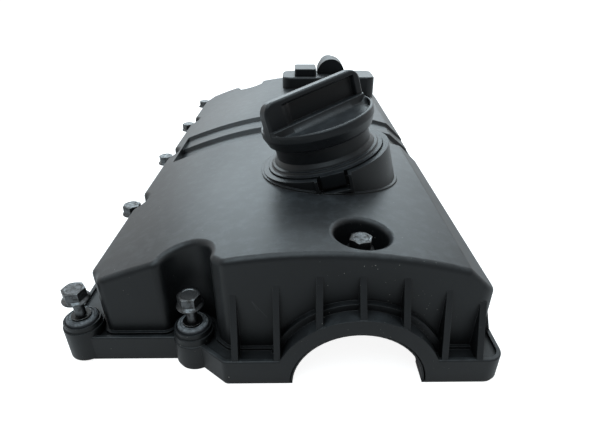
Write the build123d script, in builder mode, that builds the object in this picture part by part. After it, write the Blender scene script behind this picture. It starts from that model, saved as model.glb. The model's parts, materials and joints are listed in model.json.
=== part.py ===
from build123d import *
from math import cos, radians, sin
import os

# Valve cover of a four-cylinder engine with its gasket, captive bolts, oil filler and breather.
# Millimetres. The origin is on the ground under the cover's middle, X to the right, Y to the far end,
# Z up. The cover stands on its gasket. Heights called level are measured from the gasket's underside.

# Cover outline
COVER_WIDTH = 216.6
COVER_LENGTH = 388.0
WALL = 3.0
FLANGE_THICK = 13.5
GASKET_THICK = 1.6
FRONT_SHELF = 10.5
BACK_SHELF = 11.0
LEFT_SHELF = 14.6
RIGHT_SHELF = 6.2
JOG_DEPTH = 16.4
JOG_RUN = 19.9
JOG_FOOT_X = -24.7
JOG_SHELF = 5.2
FLANGE_CORNER = 8.0
JOG_CORNER = 4.0
CROWN_CORNER = 8.0

# Crown section, seen from the front
LEFT_EDGE_LEVEL = 42.5
LEFT_SLOPE_X = -59.8
LEFT_SLOPE_LEVEL = 55.1
LEFT_SHOULDER_X = -23.4
LEFT_SHOULDER_LEVEL = 64.4
CREST_X = 28.5
CREST_LEVEL = 68.1
RIGHT_SHOULDER_X = 88.0
RIGHT_SHOULDER_LEVEL = 58.6
RIGHT_EDGE_LEVEL = 45.2
CROWN_ROUND = 3.0

# Flange rim
RIM_WIDTH = 2.2
RIM_DEPTH = 1.6
RIM_ROUND = 0.8
FOOT_WIDTH = 1.6

# Camshaft arch in the front wall
ARCH_X = 39.0
ARCH_RADIUS = 33.0
ARCH_LEVEL = -0.4
ARCH_BAND = 7.4
ARCH_LAND = 16.5
ARCH_STEP = 3.4
ARCH_STEP_DEPTH = 3.2

# Gussets
RIB_THICK = 3.0
RIB_SET_BACK = 0.6
FRONT_RIBS = [(-19.2, 46.6), (0.5, 51.6), (20.1, 56.6), (39.5, 56.6), (59.3, 55.6), (79.3, 48.6), (95.8, 41.6)]
SIDE_RIB_COUNT = 9
SIDE_RIB_PITCH = 44.0
SIDE_RIB_START = 22.0
SIDE_RIB_LEVEL = 36.0

# Captive bolts
SIDE_BOLT_COUNT = 5
SIDE_BOLT_PITCH = 88.0
SIDE_BOLT_START = 24.2
BOLT_EDGE = 9.8
SIDE_POCKET_RADIUS = 11.0
FRONT_BOLT_X = -41.6
FRONT_BOLT_Y = 19.3
END_BOLT_X = 72.0
END_BOLT_Y = 17.0
END_POCKET_RADIUS = 12.5
POCKET_SHIFT = 1.2
POCKET_EDGE = 5.0
WELL_BOLT_X = 40.3
WELL_BOLTS_Y = [30.0, 206.0, 294.0]
WELL_RISE = 24.6
WELL_RADIUS = 13.0
WELL_ROUND = 2.5
BOSS_RADIUS = 9.7
BOSS_RISE = 6.5
SEAT_RADIUS = 8.2
SEAT_DEPTH = 1.2
BOSS_NECK_RADIUS = 9.0
BOSS_NECK_HEIGHT = 3.0
FRONT_BOSS_BULGE = 10.3

# Bolt, sleeve and grommet
THREAD_RADIUS = 3.0
THREAD_LENGTH = 19.1
WAIST_RADIUS = 2.6
BOLT_UNDERHEAD = 33.6
BOLT_FLANGE_RADIUS = 6.65
BOLT_FLANGE_THICK = 1.5
HEX_ACROSS_FLATS = 10.0
HEX_HEIGHT = 5.2
SLEEVE_BASE = 0.6
SLEEVE_TOP = 24.2
SLEEVE_RADIUS = 4.75
SLEEVE_BORE = 3.4
SLEEVE_COLLAR = 2.0
SLEEVE_COLLAR_BORE = 2.68
GROMMET_RADIUS = 6.2
GROMMET_DISC_RADIUS = 7.65
GROMMET_DISC_THICK = 2.0
GROMMET_BASE = 4.0
GROMMET_BEVEL_HEIGHT = 1.0
GROMMET_BEVEL_WIDTH = 1.2
BOLT_CHAMFER = 0.8
HEX_CROWN_HEIGHT = 0.7
HEX_CROWN_WIDTH = 1.9
SLIP = 0.05

# Channel across the top
CHANNEL_LEFT = 9.0
CHANNEL_NEAR = 176.0
CHANNEL_STEP = 204.0
CHANNEL_FAR = 226.0
CHANNEL_DEEP = 5.5
CHANNEL_SHALLOW = 2.6
CHANNEL_SLOPE = 5.0
CHANNEL_RISER = 2.4
CHANNEL_ROUND = 2.0
CHANNEL_CLEAR = 0.05

# Oil filler
FILLER_X = 27.3
FILLER_Y = 108.5
FILLER_LEVEL = 77.1
FILLER_TILT = 14.0
COLLAR_RADIUS = 38.75
COLLAR_ROOT_LEVEL = 54.0
COLLAR_DEEP = 40.0
COLLAR_FOOT_WIDTH = 1.4
COLLAR_FOOT_RISE = 1.0
RECESS_RADIUS = 35.3
RECESS_DEPTH = 3.0
SHELF_THICK = 8.0
NECK_RADIUS = 28.5
NECK_BORE = 24.5
NECK_TOP = 17.4
NECK_BOTTOM = 15.0
NECK_FLANGE_RADIUS = 35.0
NECK_FLANGE_PROUD = 1.0
NECK_FLANGE_EDGE = 1.6
NECK_STEP_RADII = [32.6, 30.6]
NECK_STEP = 1.3
NECK_STEP_SLOPE = 0.9
NECK_FOOT = 2.0
NECK_SEAL_THICK = 1.0
NECK_SEAL_WIDTH = 4.5
WINDOW_WIDTH = 17.0
WINDOW_DEPTH = 8.5
WINDOW_SHIFT = 2.0
WINDOW_FLOOR_RADIUS = 33.4
WINDOW_FRAME = 1.6
WINDOW_FRAME_PROUD = 0.9
LATCH_WIDTH = 13.0
LATCH_DEPTH = 6.5
LATCH_RADIUS = 36.6
LEDGE_THICK = 2.5
LEDGE_TOP = 8.0
LEDGE_BORE = 21.4
LEDGE_GAP = 56.0

# Filler cap, heights above the collar's face
CAP_RADIUS = 33.5
CAP_SKIRT_BASE = 13.6
CAP_SKIRT_BORE = 29.4
CAP_FOOT_RADIUS = 31.0
CAP_FOOT_ROUND = 1.2
CAP_TAPER_HEIGHT = 6.4
CAP_SHOULDER = 7.0
CAP_RIM_TOP = 24.4
CAP_RIM_WIDTH = 3.4
CAP_RIM_ROUND = 1.2
CAP_TROUGH = 22.0
CAP_TURN = 33.0
BAR_TOP = 41.5
BAR_HALF_WIDTH = 4.3
BAR_ROUND = 1.8
BAR_LEDGE = 26.4
BAR_LEDGE_WIDTH = 2.2
BAR_LEDGE_ROUND = 0.8
BAR_APRON = 20.0
BAR_APRON_ROUND = 10.0
BAR_TAPER = 0.6
BAR_POCKET_DEPTH = 2.9
BAR_POCKET_SLANT = 3.0
BAR_POCKET_CORNER = 1.5
BAR_POCKET_MOUTH = 0.5
BAR_POCKET_TOP = 38.4
BAR_POCKET_LEFT = 25.0
BAR_POCKET_RIGHT = 28.0
PLUG_RADIUS = 20.6
PLUG_WALL = 2.6
PLUG_BASE = -1.0
LUG_RADIUS = 23.6
LUG_THICK = 3.2
LUG_ANGLE = 42.0
LUG_GAP = 0.5
CAP_SEAL_THICK = 2.0
CAP_SEAL_GAP = 0.3
CAP_SEAL_INNER = 23.6
CAP_SEAL_OUTER = 28.2

# Breather at the far end
TOWER_LEFT = -4.2
TOWER_RIGHT = 90.3
TOWER_NEAR = 316.0
TOWER_FAR = 353.4
TOWER_LEVEL = 79.0
TOWER_CORNER = 8.0
TOWER_ROUND = 2.0
LID_LEFT = 8.5
LID_RIGHT = 30.5
LID_NEAR = 322.0
LID_FAR = 350.0
LID_HEIGHT = 7.0
LID_CORNER = 2.5
LID_ROUND = 1.2
LID_PLUG_RADIUS = 8.0
LID_PLUG_LENGTH = 5.0
OUTLET_X = 46.3
OUTLET_LEVEL = 79.6
OUTLET_RADIUS = 14.0
OUTLET_NEAR = 334.0
OUTLET_WALL = 2.5
STUB_RADIUS = 10.0
STUB_BORE = 7.5
STUB_REACH = 1.0
STUB_CHAMFER = 0.8
STUB_BEAD = 1.2
STUB_BEAD_WIDTH = 2.0
STUB_GRIP = 22.0
OUTLET_OVERHANG = 3.0
NIPPLE_RADIUS = 6.0
NIPPLE_BORE = 4.0
NIPPLE_LENGTH = 9.0
NIPPLE_Y = 341.0
RING_THICK = 2.0
RING_WIDTH = 3.0

# Oil separator floor under the breather
BAFFLE_LEVEL = 46.0
BAFFLE_THICK = 2.0
CHAMBER_WALL = 2.5
SLOT_COUNT = 6
SLOT_PITCH = 9.0
SLOT_WIDTH = 3.0
SLOT_LENGTH = 16.0
SCREW_INSET = 8.0
SCREW_BOSS_RADIUS = 4.2
SCREW_RADIUS = 1.5
SCREW_HEAD_RADIUS = 3.2
SCREW_HEAD_THICK = 2.0
SCREW_LENGTH = 9.0

# Gasket
BEAD_OFFSET = 3.2
BEAD_WIDTH = 3.4
BEAD_HEIGHT = 3.4
GASKET_EDGE = 0.7
GASKET_LIP = 0.9
GASKET_SHADOW = 3.0
ARCH_LIP = 2.0

FAR_AWAY = 600.0

# Places worked out from the sizes above
LEFT = -COVER_WIDTH / 2
RIGHT = COVER_WIDTH / 2
FRONT = -COVER_LENGTH / 2
BACK = COVER_LENGTH / 2
FLANGE_BASE = GASKET_THICK
FLANGE_TOP = FLANGE_BASE + FLANGE_THICK
LEFT_WALL = LEFT + LEFT_SHELF
RIGHT_WALL = RIGHT - RIGHT_SHELF
FRONT_WALL = FRONT + FRONT_SHELF
BACK_WALL = BACK - BACK_SHELF
JOG_WALL = FRONT + JOG_DEPTH + JOG_SHELF
BOSS_TOP = FLANGE_TOP + BOSS_RISE

side_bolts = [
    (LEFT + BOLT_EDGE, FRONT + SIDE_BOLT_START + k * SIDE_BOLT_PITCH) for k in range(SIDE_BOLT_COUNT)
]
front_bolt = (FRONT_BOLT_X, FRONT + FRONT_BOLT_Y)
end_bolts = [(FRONT_BOLT_X, BACK - END_BOLT_Y), (END_BOLT_X, BACK - END_BOLT_Y)]
well_bolts = [(WELL_BOLT_X, FRONT + y) for y in WELL_BOLTS_Y]
low_bolts = side_bolts + [front_bolt] + end_bolts
bolt_places = [(x, y, 0.0) for x, y in low_bolts] + [(x, y, WELL_RISE) for x, y in well_bolts]

screw_places = [
    (x, FRONT + y)
    for x in (TOWER_LEFT + SCREW_INSET, TOWER_RIGHT - SCREW_INSET)
    for y in (TOWER_NEAR + SCREW_INSET, TOWER_FAR - SCREW_INSET)
]

filler_lean = radians(FILLER_TILT)
filler_plane = Plane(
    origin=(FILLER_X, FRONT + FILLER_Y, FILLER_LEVEL),
    x_dir=(cos(filler_lean), 0, sin(filler_lean)),
    z_dir=(-sin(filler_lean), 0, cos(filler_lean)),
)
filler_axis = Axis(filler_plane.origin, filler_plane.z_dir)
filler_section = Plane(origin=filler_plane.origin, x_dir=filler_plane.x_dir, z_dir=-filler_plane.y_dir)


def front_plane(y):
    """A plane seen from the front: its x is the cover's X and its y is up. Its normal points at the viewer."""
    return Plane(origin=(0, y, 0), x_dir=(1, 0, 0), z_dir=(0, -1, 0))


def crest_points(inset):
    """The crown's upper line from the left edge over the crest to the right shoulder, drawn inset."""
    return [
        (LEFT_WALL + inset, LEFT_EDGE_LEVEL - inset),
        (LEFT_SLOPE_X, LEFT_SLOPE_LEVEL - inset),
        (LEFT_SHOULDER_X, LEFT_SHOULDER_LEVEL - inset),
        (CREST_X, CREST_LEVEL - inset),
        (RIGHT_SHOULDER_X - inset / 2, RIGHT_SHOULDER_LEVEL - inset),
    ]


def crown_profile(inset):
    """The crown's cross section, drawn inset inside its outer face."""
    left = LEFT_WALL + inset
    right = RIGHT_WALL - inset
    with BuildSketch(front_plane(FRONT - 1)) as profile:
        with BuildLine():
            crest = Spline(*crest_points(inset))
            Polyline(
                crest @ 1,
                (right, RIGHT_EDGE_LEVEL - inset / 2),
                (right, -FAR_AWAY),
                (left, -FAR_AWAY),
                crest @ 0,
            )
        make_face()
    return profile.sketch


def crown_plan():
    """The crown's outline from above, with a scallop for each low bolt."""
    with BuildSketch() as plan:
        with BuildLine():
            Polyline(
                (LEFT_WALL, JOG_WALL),
                (JOG_FOOT_X - JOG_RUN / 2, JOG_WALL),
                (JOG_FOOT_X + JOG_CORNER / 2, FRONT_WALL),
                (RIGHT_WALL, FRONT_WALL),
                (RIGHT_WALL, BACK_WALL),
                (LEFT_WALL, BACK_WALL),
                close=True,
            )
        make_face()
        with Locations(*[(x + POCKET_SHIFT / 2, y) for x, y in side_bolts]):
            Circle(SIDE_POCKET_RADIUS, mode=Mode.SUBTRACT)
        with Locations((front_bolt[0], front_bolt[1] + POCKET_SHIFT)):
            Circle(END_POCKET_RADIUS, mode=Mode.SUBTRACT)
        with Locations(*[(x, y - POCKET_SHIFT) for x, y in end_bolts]):
            Circle(END_POCKET_RADIUS, mode=Mode.SUBTRACT)
        right_corners = plan.vertices().sort_by(Axis.X)[-2:]
        fillet(right_corners, CROWN_CORNER)
        fillet(plan.vertices().filter_by(lambda v: v.X < RIGHT_WALL - 2 * CROWN_CORNER), POCKET_EDGE)
    return plan.sketch


def flange_plan():
    """The flange's outline from above, with the bulge round the front bolt and the jog beside it."""
    with BuildSketch() as plan:
        with BuildLine():
            Polyline(
                (LEFT, FRONT + JOG_DEPTH),
                (JOG_FOOT_X - JOG_RUN, FRONT + JOG_DEPTH),
                (JOG_FOOT_X, FRONT),
                (RIGHT, FRONT),
                (RIGHT, BACK),
                (LEFT, BACK),
                close=True,
            )
        make_face()
        corners = plan.vertices().filter_by(lambda v: abs(v.X) > RIGHT - 1)
        fillet(corners, FLANGE_CORNER)
        fillet(plan.vertices().sort_by_distance((JOG_FOOT_X, FRONT, 0))[0], JOG_CORNER)
        with Locations(front_bolt):
            Circle(FRONT_BOSS_BULGE)
    return plan.sketch


def grown(sketch, amount):
    """The sketch with its outline moved outwards by amount, or inwards where it is negative."""
    with BuildSketch() as result:
        add(sketch)
        offset(amount=amount)
    return result.sketch


def arch_ring(outer, inner):
    """The half ring round the camshaft arch, drawn from the front."""
    with BuildSketch(front_plane(FRONT)) as ring:
        with Locations((ARCH_X, ARCH_LEVEL)):
            Circle(outer)
            Circle(inner, mode=Mode.SUBTRACT)
        with Locations((ARCH_X, FLANGE_BASE)):
            Rectangle(4 * outer, 2 * outer, align=(Align.CENTER, Align.MIN), mode=Mode.INTERSECT)
    return ring.sketch


crown_outline = crown_plan()
flange_outline = flange_plan()
cavity_outline = grown(crown_outline, -WALL)


def crown_block(inset):
    """A block with the crown's section, longer than the cover."""
    return extrude(crown_profile(inset), amount=-COVER_LENGTH - 2, mode=Mode.PRIVATE)


def arch_block(outer, inner, near, far):
    """The arch ring between two distances from the front edge."""
    ring = arch_ring(outer, inner).moved(Location((0, near, 0)))
    return extrude(ring, amount=near - far, mode=Mode.PRIVATE)


def arch_top_at(x, radius):
    """How high a circle of this radius round the arch's centre stands at x, and at least the flange's top."""
    reach = radius ** 2 - (x - ARCH_X) ** 2
    return max(FLANGE_TOP, ARCH_LEVEL + reach ** 0.5) if reach > 0 else FLANGE_TOP


def tower_box(inset, base, top):
    """The breather tower's outline, inset from its outer face, as a block between two levels."""
    with BuildPart() as block:
        with BuildSketch(Plane.XY.offset(base)):
            with Locations(((TOWER_LEFT + TOWER_RIGHT) / 2, FRONT + (TOWER_NEAR + TOWER_FAR) / 2)):
                RectangleRounded(
                    TOWER_RIGHT - TOWER_LEFT - 2 * inset,
                    TOWER_FAR - TOWER_NEAR - 2 * inset,
                    TOWER_CORNER - inset,
                )
        extrude(amount=top - base)
    return block.part


def channel_cutter(grow):
    """The cross channel, swept along the crown's section. Grown, it is the moulding under the channel."""
    near = FRONT + CHANNEL_NEAR
    step = FRONT + CHANNEL_STEP
    far = FRONT + CHANNEL_FAR
    lift = CHANNEL_CLEAR if grow == 0 else -grow
    head = 4 * CHANNEL_DEEP
    with BuildLine(front_plane(0)) as crest_path:
        Spline(*crest_points(0))
    with BuildLine(front_plane(0)) as bevel_path:
        Line((RIGHT_SHOULDER_X, RIGHT_SHOULDER_LEVEL), (RIGHT_WALL + 2, RIGHT_EDGE_LEVEL))
    solids = []
    for path in (crest_path.line, bevel_path.line):
        start = Plane(origin=path @ 0, x_dir=(0, 1, 0), z_dir=path % 0)
        up = 1 if start.y_dir.Z > 0 else -1
        corners = [
            (near - CHANNEL_SLOPE - grow - head, head),
            (near - CHANNEL_SLOPE - grow - head, lift),
            (near - CHANNEL_SLOPE - grow, lift),
            (near - grow, -CHANNEL_DEEP - grow),
            (step - CHANNEL_RISER / 2 + grow, -CHANNEL_DEEP - grow),
            (step + CHANNEL_RISER / 2 + grow, -CHANNEL_SHALLOW - grow),
            (far - CHANNEL_RISER / 2 + grow, -CHANNEL_SHALLOW - grow),
            (far + CHANNEL_RISER / 2 + grow, lift),
            (far + CHANNEL_RISER / 2 + grow + head, lift),
            (far + CHANNEL_RISER / 2 + grow + head, head),
        ]
        with BuildPart() as swept:
            with BuildSketch(start) as profile:
                with BuildLine():
                    Polyline(*[(y, up * n) for y, n in corners], close=True)
                make_face()
                outer_end = near - CHANNEL_SLOPE - grow - head / 2
                inner_end = far + CHANNEL_RISER + grow + head / 2
                fillet(profile.vertices().filter_by(lambda v: outer_end < v.Y < inner_end), CHANNEL_ROUND / 2)
            sweep(path=path)
        solids.append(swept.part)
    return solids


def rim_side(cutter, grow):
    """The channel cutter without its left end, so that the cover's left rim stays."""
    with BuildPart() as kept:
        with BuildSketch(Plane.XY):
            with Locations((LEFT_WALL + CHANNEL_LEFT - grow, 0)):
                Rectangle(2 * COVER_WIDTH, COVER_LENGTH, align=(Align.MIN, Align.CENTER))
        extrude(amount=2 * CREST_LEVEL)
        add(cutter, mode=Mode.INTERSECT)
    return kept.part


def bead_sketch(slack):
    """The gasket's bead, a closed ring just outside the hollow, widened by slack on each side."""
    with BuildSketch() as ring:
        add(grown(cavity_outline, BEAD_OFFSET + BEAD_WIDTH + slack))
        add(grown(cavity_outline, BEAD_OFFSET - slack), mode=Mode.SUBTRACT)
    return ring.sketch


def filler_disc(radius, low, high):
    """A disc on the filler's axis between two heights above the collar's face."""
    with BuildPart() as disc:
        with BuildSketch(filler_plane.offset(low)):
            Circle(radius)
        extrude(amount=high - low)
    return disc.part


def filler_turned(points, rounds=()):
    """A body turned on the filler's axis from points of radius and height. Each round is a point and a size."""
    with BuildPart() as turned:
        with BuildSketch(filler_section) as section:
            with BuildLine():
                Polyline(*points, close=True)
            make_face()
            for point, size in rounds:
                fillet(section.vertices().sort_by_distance((*point, 0))[0], size)
        revolve(axis=filler_axis)
    return turned.part


def collar_disc(radius):
    """A leaning disc from the collar's face down to the level where the collar's wall ends."""
    with BuildPart() as disc:
        add(filler_disc(radius, -COLLAR_DEEP, 0))
        with BuildSketch(Plane.XY.offset(COLLAR_ROOT_LEVEL)):
            Rectangle(COVER_WIDTH, COVER_LENGTH)
        extrude(amount=CREST_LEVEL, mode=Mode.INTERSECT)
    return disc.part


def sector(radius, angle, low, high):
    """Two opposite wedges on the filler's axis, lined up with the cap's bar."""
    with BuildPart() as wedges:
        with BuildSketch(filler_plane.offset(low)):
            for turn in (0, 180):
                with BuildLine():
                    half = angle / 2
                    first = PolarLine((0, 0), radius, CAP_TURN + turn - half)
                    second = PolarLine((0, 0), radius, CAP_TURN + turn + half)
                    ThreePointArc(first @ 1, Vector(radius, 0).rotate(Axis.Z, CAP_TURN + turn), second @ 1)
                make_face()
        extrude(amount=high - low)
    return wedges.part


def window_block(width, depth, inner, outer, high):
    """A block on the near side of the collar, from an inner to an outer distance off the filler's axis."""
    with BuildPart() as block:
        with BuildSketch(filler_plane.offset(-depth)):
            with Locations((WINDOW_SHIFT, -outer)):
                Rectangle(width, outer - inner, align=(Align.CENTER, Align.MIN))
        extrude(amount=depth + high)
    return block.part


def column(x, y, radius, low, high):
    """An upright disc between two levels."""
    with BuildPart() as post:
        with BuildSketch(Plane.XY.offset(low)):
            with Locations((x, y)):
                Circle(radius)
        extrude(amount=high - low)
    return post.part


def gusset_on(plane, reach, foot, root, top):
    """A rib of triangular side view: it stands on foot, leans on the wall up to top and reaches out."""
    up = 1 if plane.y_dir.Z > 0 else -1
    with BuildPart() as rib:
        with BuildSketch(plane):
            with BuildLine():
                Polyline(
                    (-WALL / 2, up * root),
                    (-WALL / 2, up * top),
                    (0, up * top),
                    (reach, up * foot),
                    (reach, up * root),
                    close=True,
                )
            make_face()
        extrude(amount=RIB_THICK / 2, both=True)
    return rib.part


def well_mouth(shell, x, y):
    """The edges where a bolt well comes out of the crown."""
    def off_axis(point):
        return ((point.X - x) ** 2 + (point.Y - y) ** 2) ** 0.5

    return shell.edges().filter_by(
        lambda e: abs(off_axis(e @ 0.25) - WELL_RADIUS) < SLIP
        and abs(off_axis(e @ 0.75) - WELL_RADIUS) < SLIP
        and (e @ 0.5).Z > LEFT_EDGE_LEVEL
        and e.bounding_box().size.Z < WELL_RADIUS
    )


# One moulding: flange, crown, ribs, arch, bolt bosses, wells, filler collar and breather tower.
with BuildPart() as cover_shell:
    # Crown with rounded upper edges
    extrude(crown_outline.moved(Location((0, 0, FLANGE_BASE))), amount=CREST_LEVEL)
    add(crown_block(0), mode=Mode.INTERSECT)
    crown_faces = cover_shell.faces().filter_by(lambda f: f.normal_at().Z > 0.3)
    fillet(crown_faces.edges(), CROWN_ROUND)

    # Flange with a raised rim along its rounded outer edge
    with BuildPart() as flange:
        extrude(flange_outline.moved(Location((0, 0, FLANGE_BASE))), amount=FLANGE_THICK)
        fillet(flange.faces().sort_by(Axis.Z)[-1].edges(), RIM_ROUND)
    add(flange.part)
    with BuildPart(mode=Mode.SUBTRACT) as rim_recess:
        rim_inside = grown(flange_outline, -RIM_WIDTH)
        extrude(rim_inside.moved(Location((0, 0, FLANGE_TOP - RIM_DEPTH))), amount=RIM_DEPTH + 1)
        wall_foot = grown(crown_outline, FOOT_WIDTH)
        extrude(wall_foot.moved(Location((0, 0, FLANGE_TOP - RIM_DEPTH - 1))), amount=4, mode=Mode.SUBTRACT)

    # Camshaft arch: its band, and the stepped foot that stands behind it
    add(arch_block(ARCH_RADIUS + ARCH_BAND, ARCH_RADIUS, 0, FRONT_SHELF + WALL))
    step_near = FRONT_SHELF - ARCH_STEP_DEPTH
    add(arch_block(ARCH_RADIUS + ARCH_BAND + ARCH_STEP, ARCH_RADIUS, step_near, FRONT_SHELF + WALL))

    # Gussets on the front wall and on the right wall
    for rib_x, rib_level in FRONT_RIBS:
        rib_plane = Plane(origin=(rib_x, FRONT_WALL, 0), x_dir=(0, -1, 0), z_dir=(1, 0, 0))
        foot = arch_top_at(rib_x, ARCH_RADIUS + ARCH_BAND)
        add(gusset_on(rib_plane, FRONT_SHELF - RIB_SET_BACK, foot, foot - ARCH_BAND / 2, rib_level))
    for k in range(SIDE_RIB_COUNT):
        rib_y = FRONT + SIDE_RIB_START + k * SIDE_RIB_PITCH
        rib_plane = Plane(origin=(RIGHT_WALL, rib_y, 0), x_dir=(1, 0, 0), z_dir=(0, -1, 0))
        root = FLANGE_TOP - 2 * RIM_DEPTH
        add(gusset_on(rib_plane, RIGHT_SHELF - RIB_SET_BACK, FLANGE_TOP, root, SIDE_RIB_LEVEL))

    # Hollow inside, open below, with the crown's wall following the channel
    with BuildPart(mode=Mode.SUBTRACT) as cavity:
        extrude(cavity_outline.moved(Location((0, 0, FLANGE_BASE - 1))), amount=CREST_LEVEL)
        add(crown_block(WALL), mode=Mode.INTERSECT)
        for cutter in channel_cutter(WALL):
            add(rim_side(cutter, WALL), mode=Mode.SUBTRACT)

    # The arch's land inside the hollow, which carries the gasket's band
    add(arch_block(ARCH_RADIUS + WALL, ARCH_RADIUS - 1, FRONT_SHELF, ARCH_LAND))

    # Breather tower, with its chamber's walls standing down into the hollow
    with BuildPart() as tower:
        add(tower_box(0, BAFFLE_LEVEL + BAFFLE_THICK, TOWER_LEVEL))
        fillet(tower.faces().sort_by(Axis.Z)[-1].edges(), TOWER_ROUND)
    add(tower.part)
    add(tower_box(CHAMBER_WALL, BAFFLE_LEVEL, TOWER_LEVEL - WALL), mode=Mode.SUBTRACT)
    for x, y in screw_places:
        add(column(x, y, SCREW_BOSS_RADIUS, BAFFLE_LEVEL + BAFFLE_THICK, TOWER_LEVEL - WALL))
        hole_top = BAFFLE_LEVEL + BAFFLE_THICK + SCREW_LENGTH
        add(column(x, y, SCREW_RADIUS + SLIP, BAFFLE_LEVEL, hole_top), mode=Mode.SUBTRACT)

    # Filler collar: a leaning tube with a shelf for the neck and a low ring round its foot
    add(collar_disc(COLLAR_RADIUS))
    with BuildPart() as collar_foot:
        add(collar_disc(COLLAR_RADIUS + COLLAR_FOOT_WIDTH))
        add(crown_block(-COLLAR_FOOT_RISE), mode=Mode.INTERSECT)
    add(collar_foot.part)
    frame_width = WINDOW_WIDTH + 2 * WINDOW_FRAME
    frame_outer = COLLAR_RADIUS + WINDOW_FRAME_PROUD
    add(window_block(frame_width, WINDOW_DEPTH + WINDOW_FRAME, WINDOW_FLOOR_RADIUS, frame_outer, 0))
    add(filler_disc(COLLAR_RADIUS - WALL, -2 * COLLAR_DEEP, -RECESS_DEPTH - SHELF_THICK), mode=Mode.SUBTRACT)

    # Wells for the bolts on the camshaft's line
    with BuildPart() as wells:
        for x, y in well_bolts:
            add(column(x, y, WELL_RADIUS + WALL, FLANGE_TOP + WELL_RISE - WALL, 2 * CREST_LEVEL))
            add(column(x, y, BOSS_RADIUS, FLANGE_BASE + WELL_RISE, FLANGE_TOP + WELL_RISE))
        add(crown_block(WALL / 2), mode=Mode.INTERSECT)
    add(wells.part)
    for x, y in well_bolts:
        add(column(x, y, WELL_RADIUS, FLANGE_TOP + WELL_RISE, 2 * CREST_LEVEL), mode=Mode.SUBTRACT)
        if not FRONT + CHANNEL_NEAR - WELL_RADIUS < y < FRONT + CHANNEL_FAR + WELL_RADIUS:
            fillet(well_mouth(cover_shell, x, y), WELL_ROUND)

    # Cross channel in the crown
    for cutter in channel_cutter(0):
        add(rim_side(cutter, 0), mode=Mode.SUBTRACT)

    # Bosses, bores and grommet seats for all the bolts
    for x, y, rise in bolt_places:
        low = FLANGE_BASE if rise == 0 else FLANGE_TOP + rise - WALL
        add(column(x, y, BOSS_RADIUS, low, BOSS_TOP + rise - BOSS_NECK_HEIGHT))
        add(column(x, y, BOSS_NECK_RADIUS, low, BOSS_TOP + rise))
        add(column(x, y, GROMMET_RADIUS + SLIP, rise, BOSS_TOP + rise + 1), mode=Mode.SUBTRACT)
        add(column(x, y, SEAT_RADIUS, BOSS_TOP + rise - SEAT_DEPTH, BOSS_TOP + rise + 1), mode=Mode.SUBTRACT)

    # Collar's bore, recess and latch window
    add(filler_disc(NECK_RADIUS + SLIP, -COLLAR_DEEP, 1), mode=Mode.SUBTRACT)
    add(filler_disc(RECESS_RADIUS, -RECESS_DEPTH, 1), mode=Mode.SUBTRACT)
    add(window_block(WINDOW_WIDTH, WINDOW_DEPTH, WINDOW_FLOOR_RADIUS, frame_outer + SLIP, 1), mode=Mode.SUBTRACT)

    # Seats of the breather lid and the hose outlet, which lies in a trough in the tower's roof
    with BuildPart() as trough:
        with BuildSketch(front_plane(FRONT + OUTLET_NEAR - WALL)):
            with Locations((OUTLET_X, OUTLET_LEVEL)):
                Circle(OUTLET_RADIUS + WALL)
        extrude(amount=-(TOWER_FAR - OUTLET_NEAR + WALL))
        add(tower_box(CHAMBER_WALL / 2, BAFFLE_LEVEL, TOWER_LEVEL - WALL / 2), mode=Mode.INTERSECT)
    add(trough.part)
    nipple_y = FRONT + NIPPLE_Y
    add(column(OUTLET_X, nipple_y, NIPPLE_RADIUS + SLIP, BAFFLE_LEVEL, TOWER_LEVEL), mode=Mode.SUBTRACT)
    lid_x = (LID_LEFT + LID_RIGHT) / 2
    lid_y = FRONT + (LID_NEAR + LID_FAR) / 2
    add(column(lid_x, lid_y, LID_PLUG_RADIUS + SLIP, TOWER_LEVEL - 2 * WALL, TOWER_LEVEL + 1), mode=Mode.SUBTRACT)
    with BuildSketch(front_plane(FRONT + OUTLET_NEAR)):
        with Locations((OUTLET_X, OUTLET_LEVEL)):
            Circle(OUTLET_RADIUS + SLIP)
    extrude(amount=-(BACK - FRONT - OUTLET_NEAR), mode=Mode.SUBTRACT)

    # Groove for the gasket's bead
    extrude(bead_sketch(SLIP), amount=FLANGE_BASE + BEAD_HEIGHT + SLIP, mode=Mode.SUBTRACT)

    # Camshaft arch opening
    with BuildSketch(front_plane(FRONT)):
        with Locations((ARCH_X, ARCH_LEVEL)):
            Circle(ARCH_RADIUS)
    extrude(amount=-ARCH_LAND, mode=Mode.SUBTRACT)

cover_shell.part.label = "cover_shell"


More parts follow.
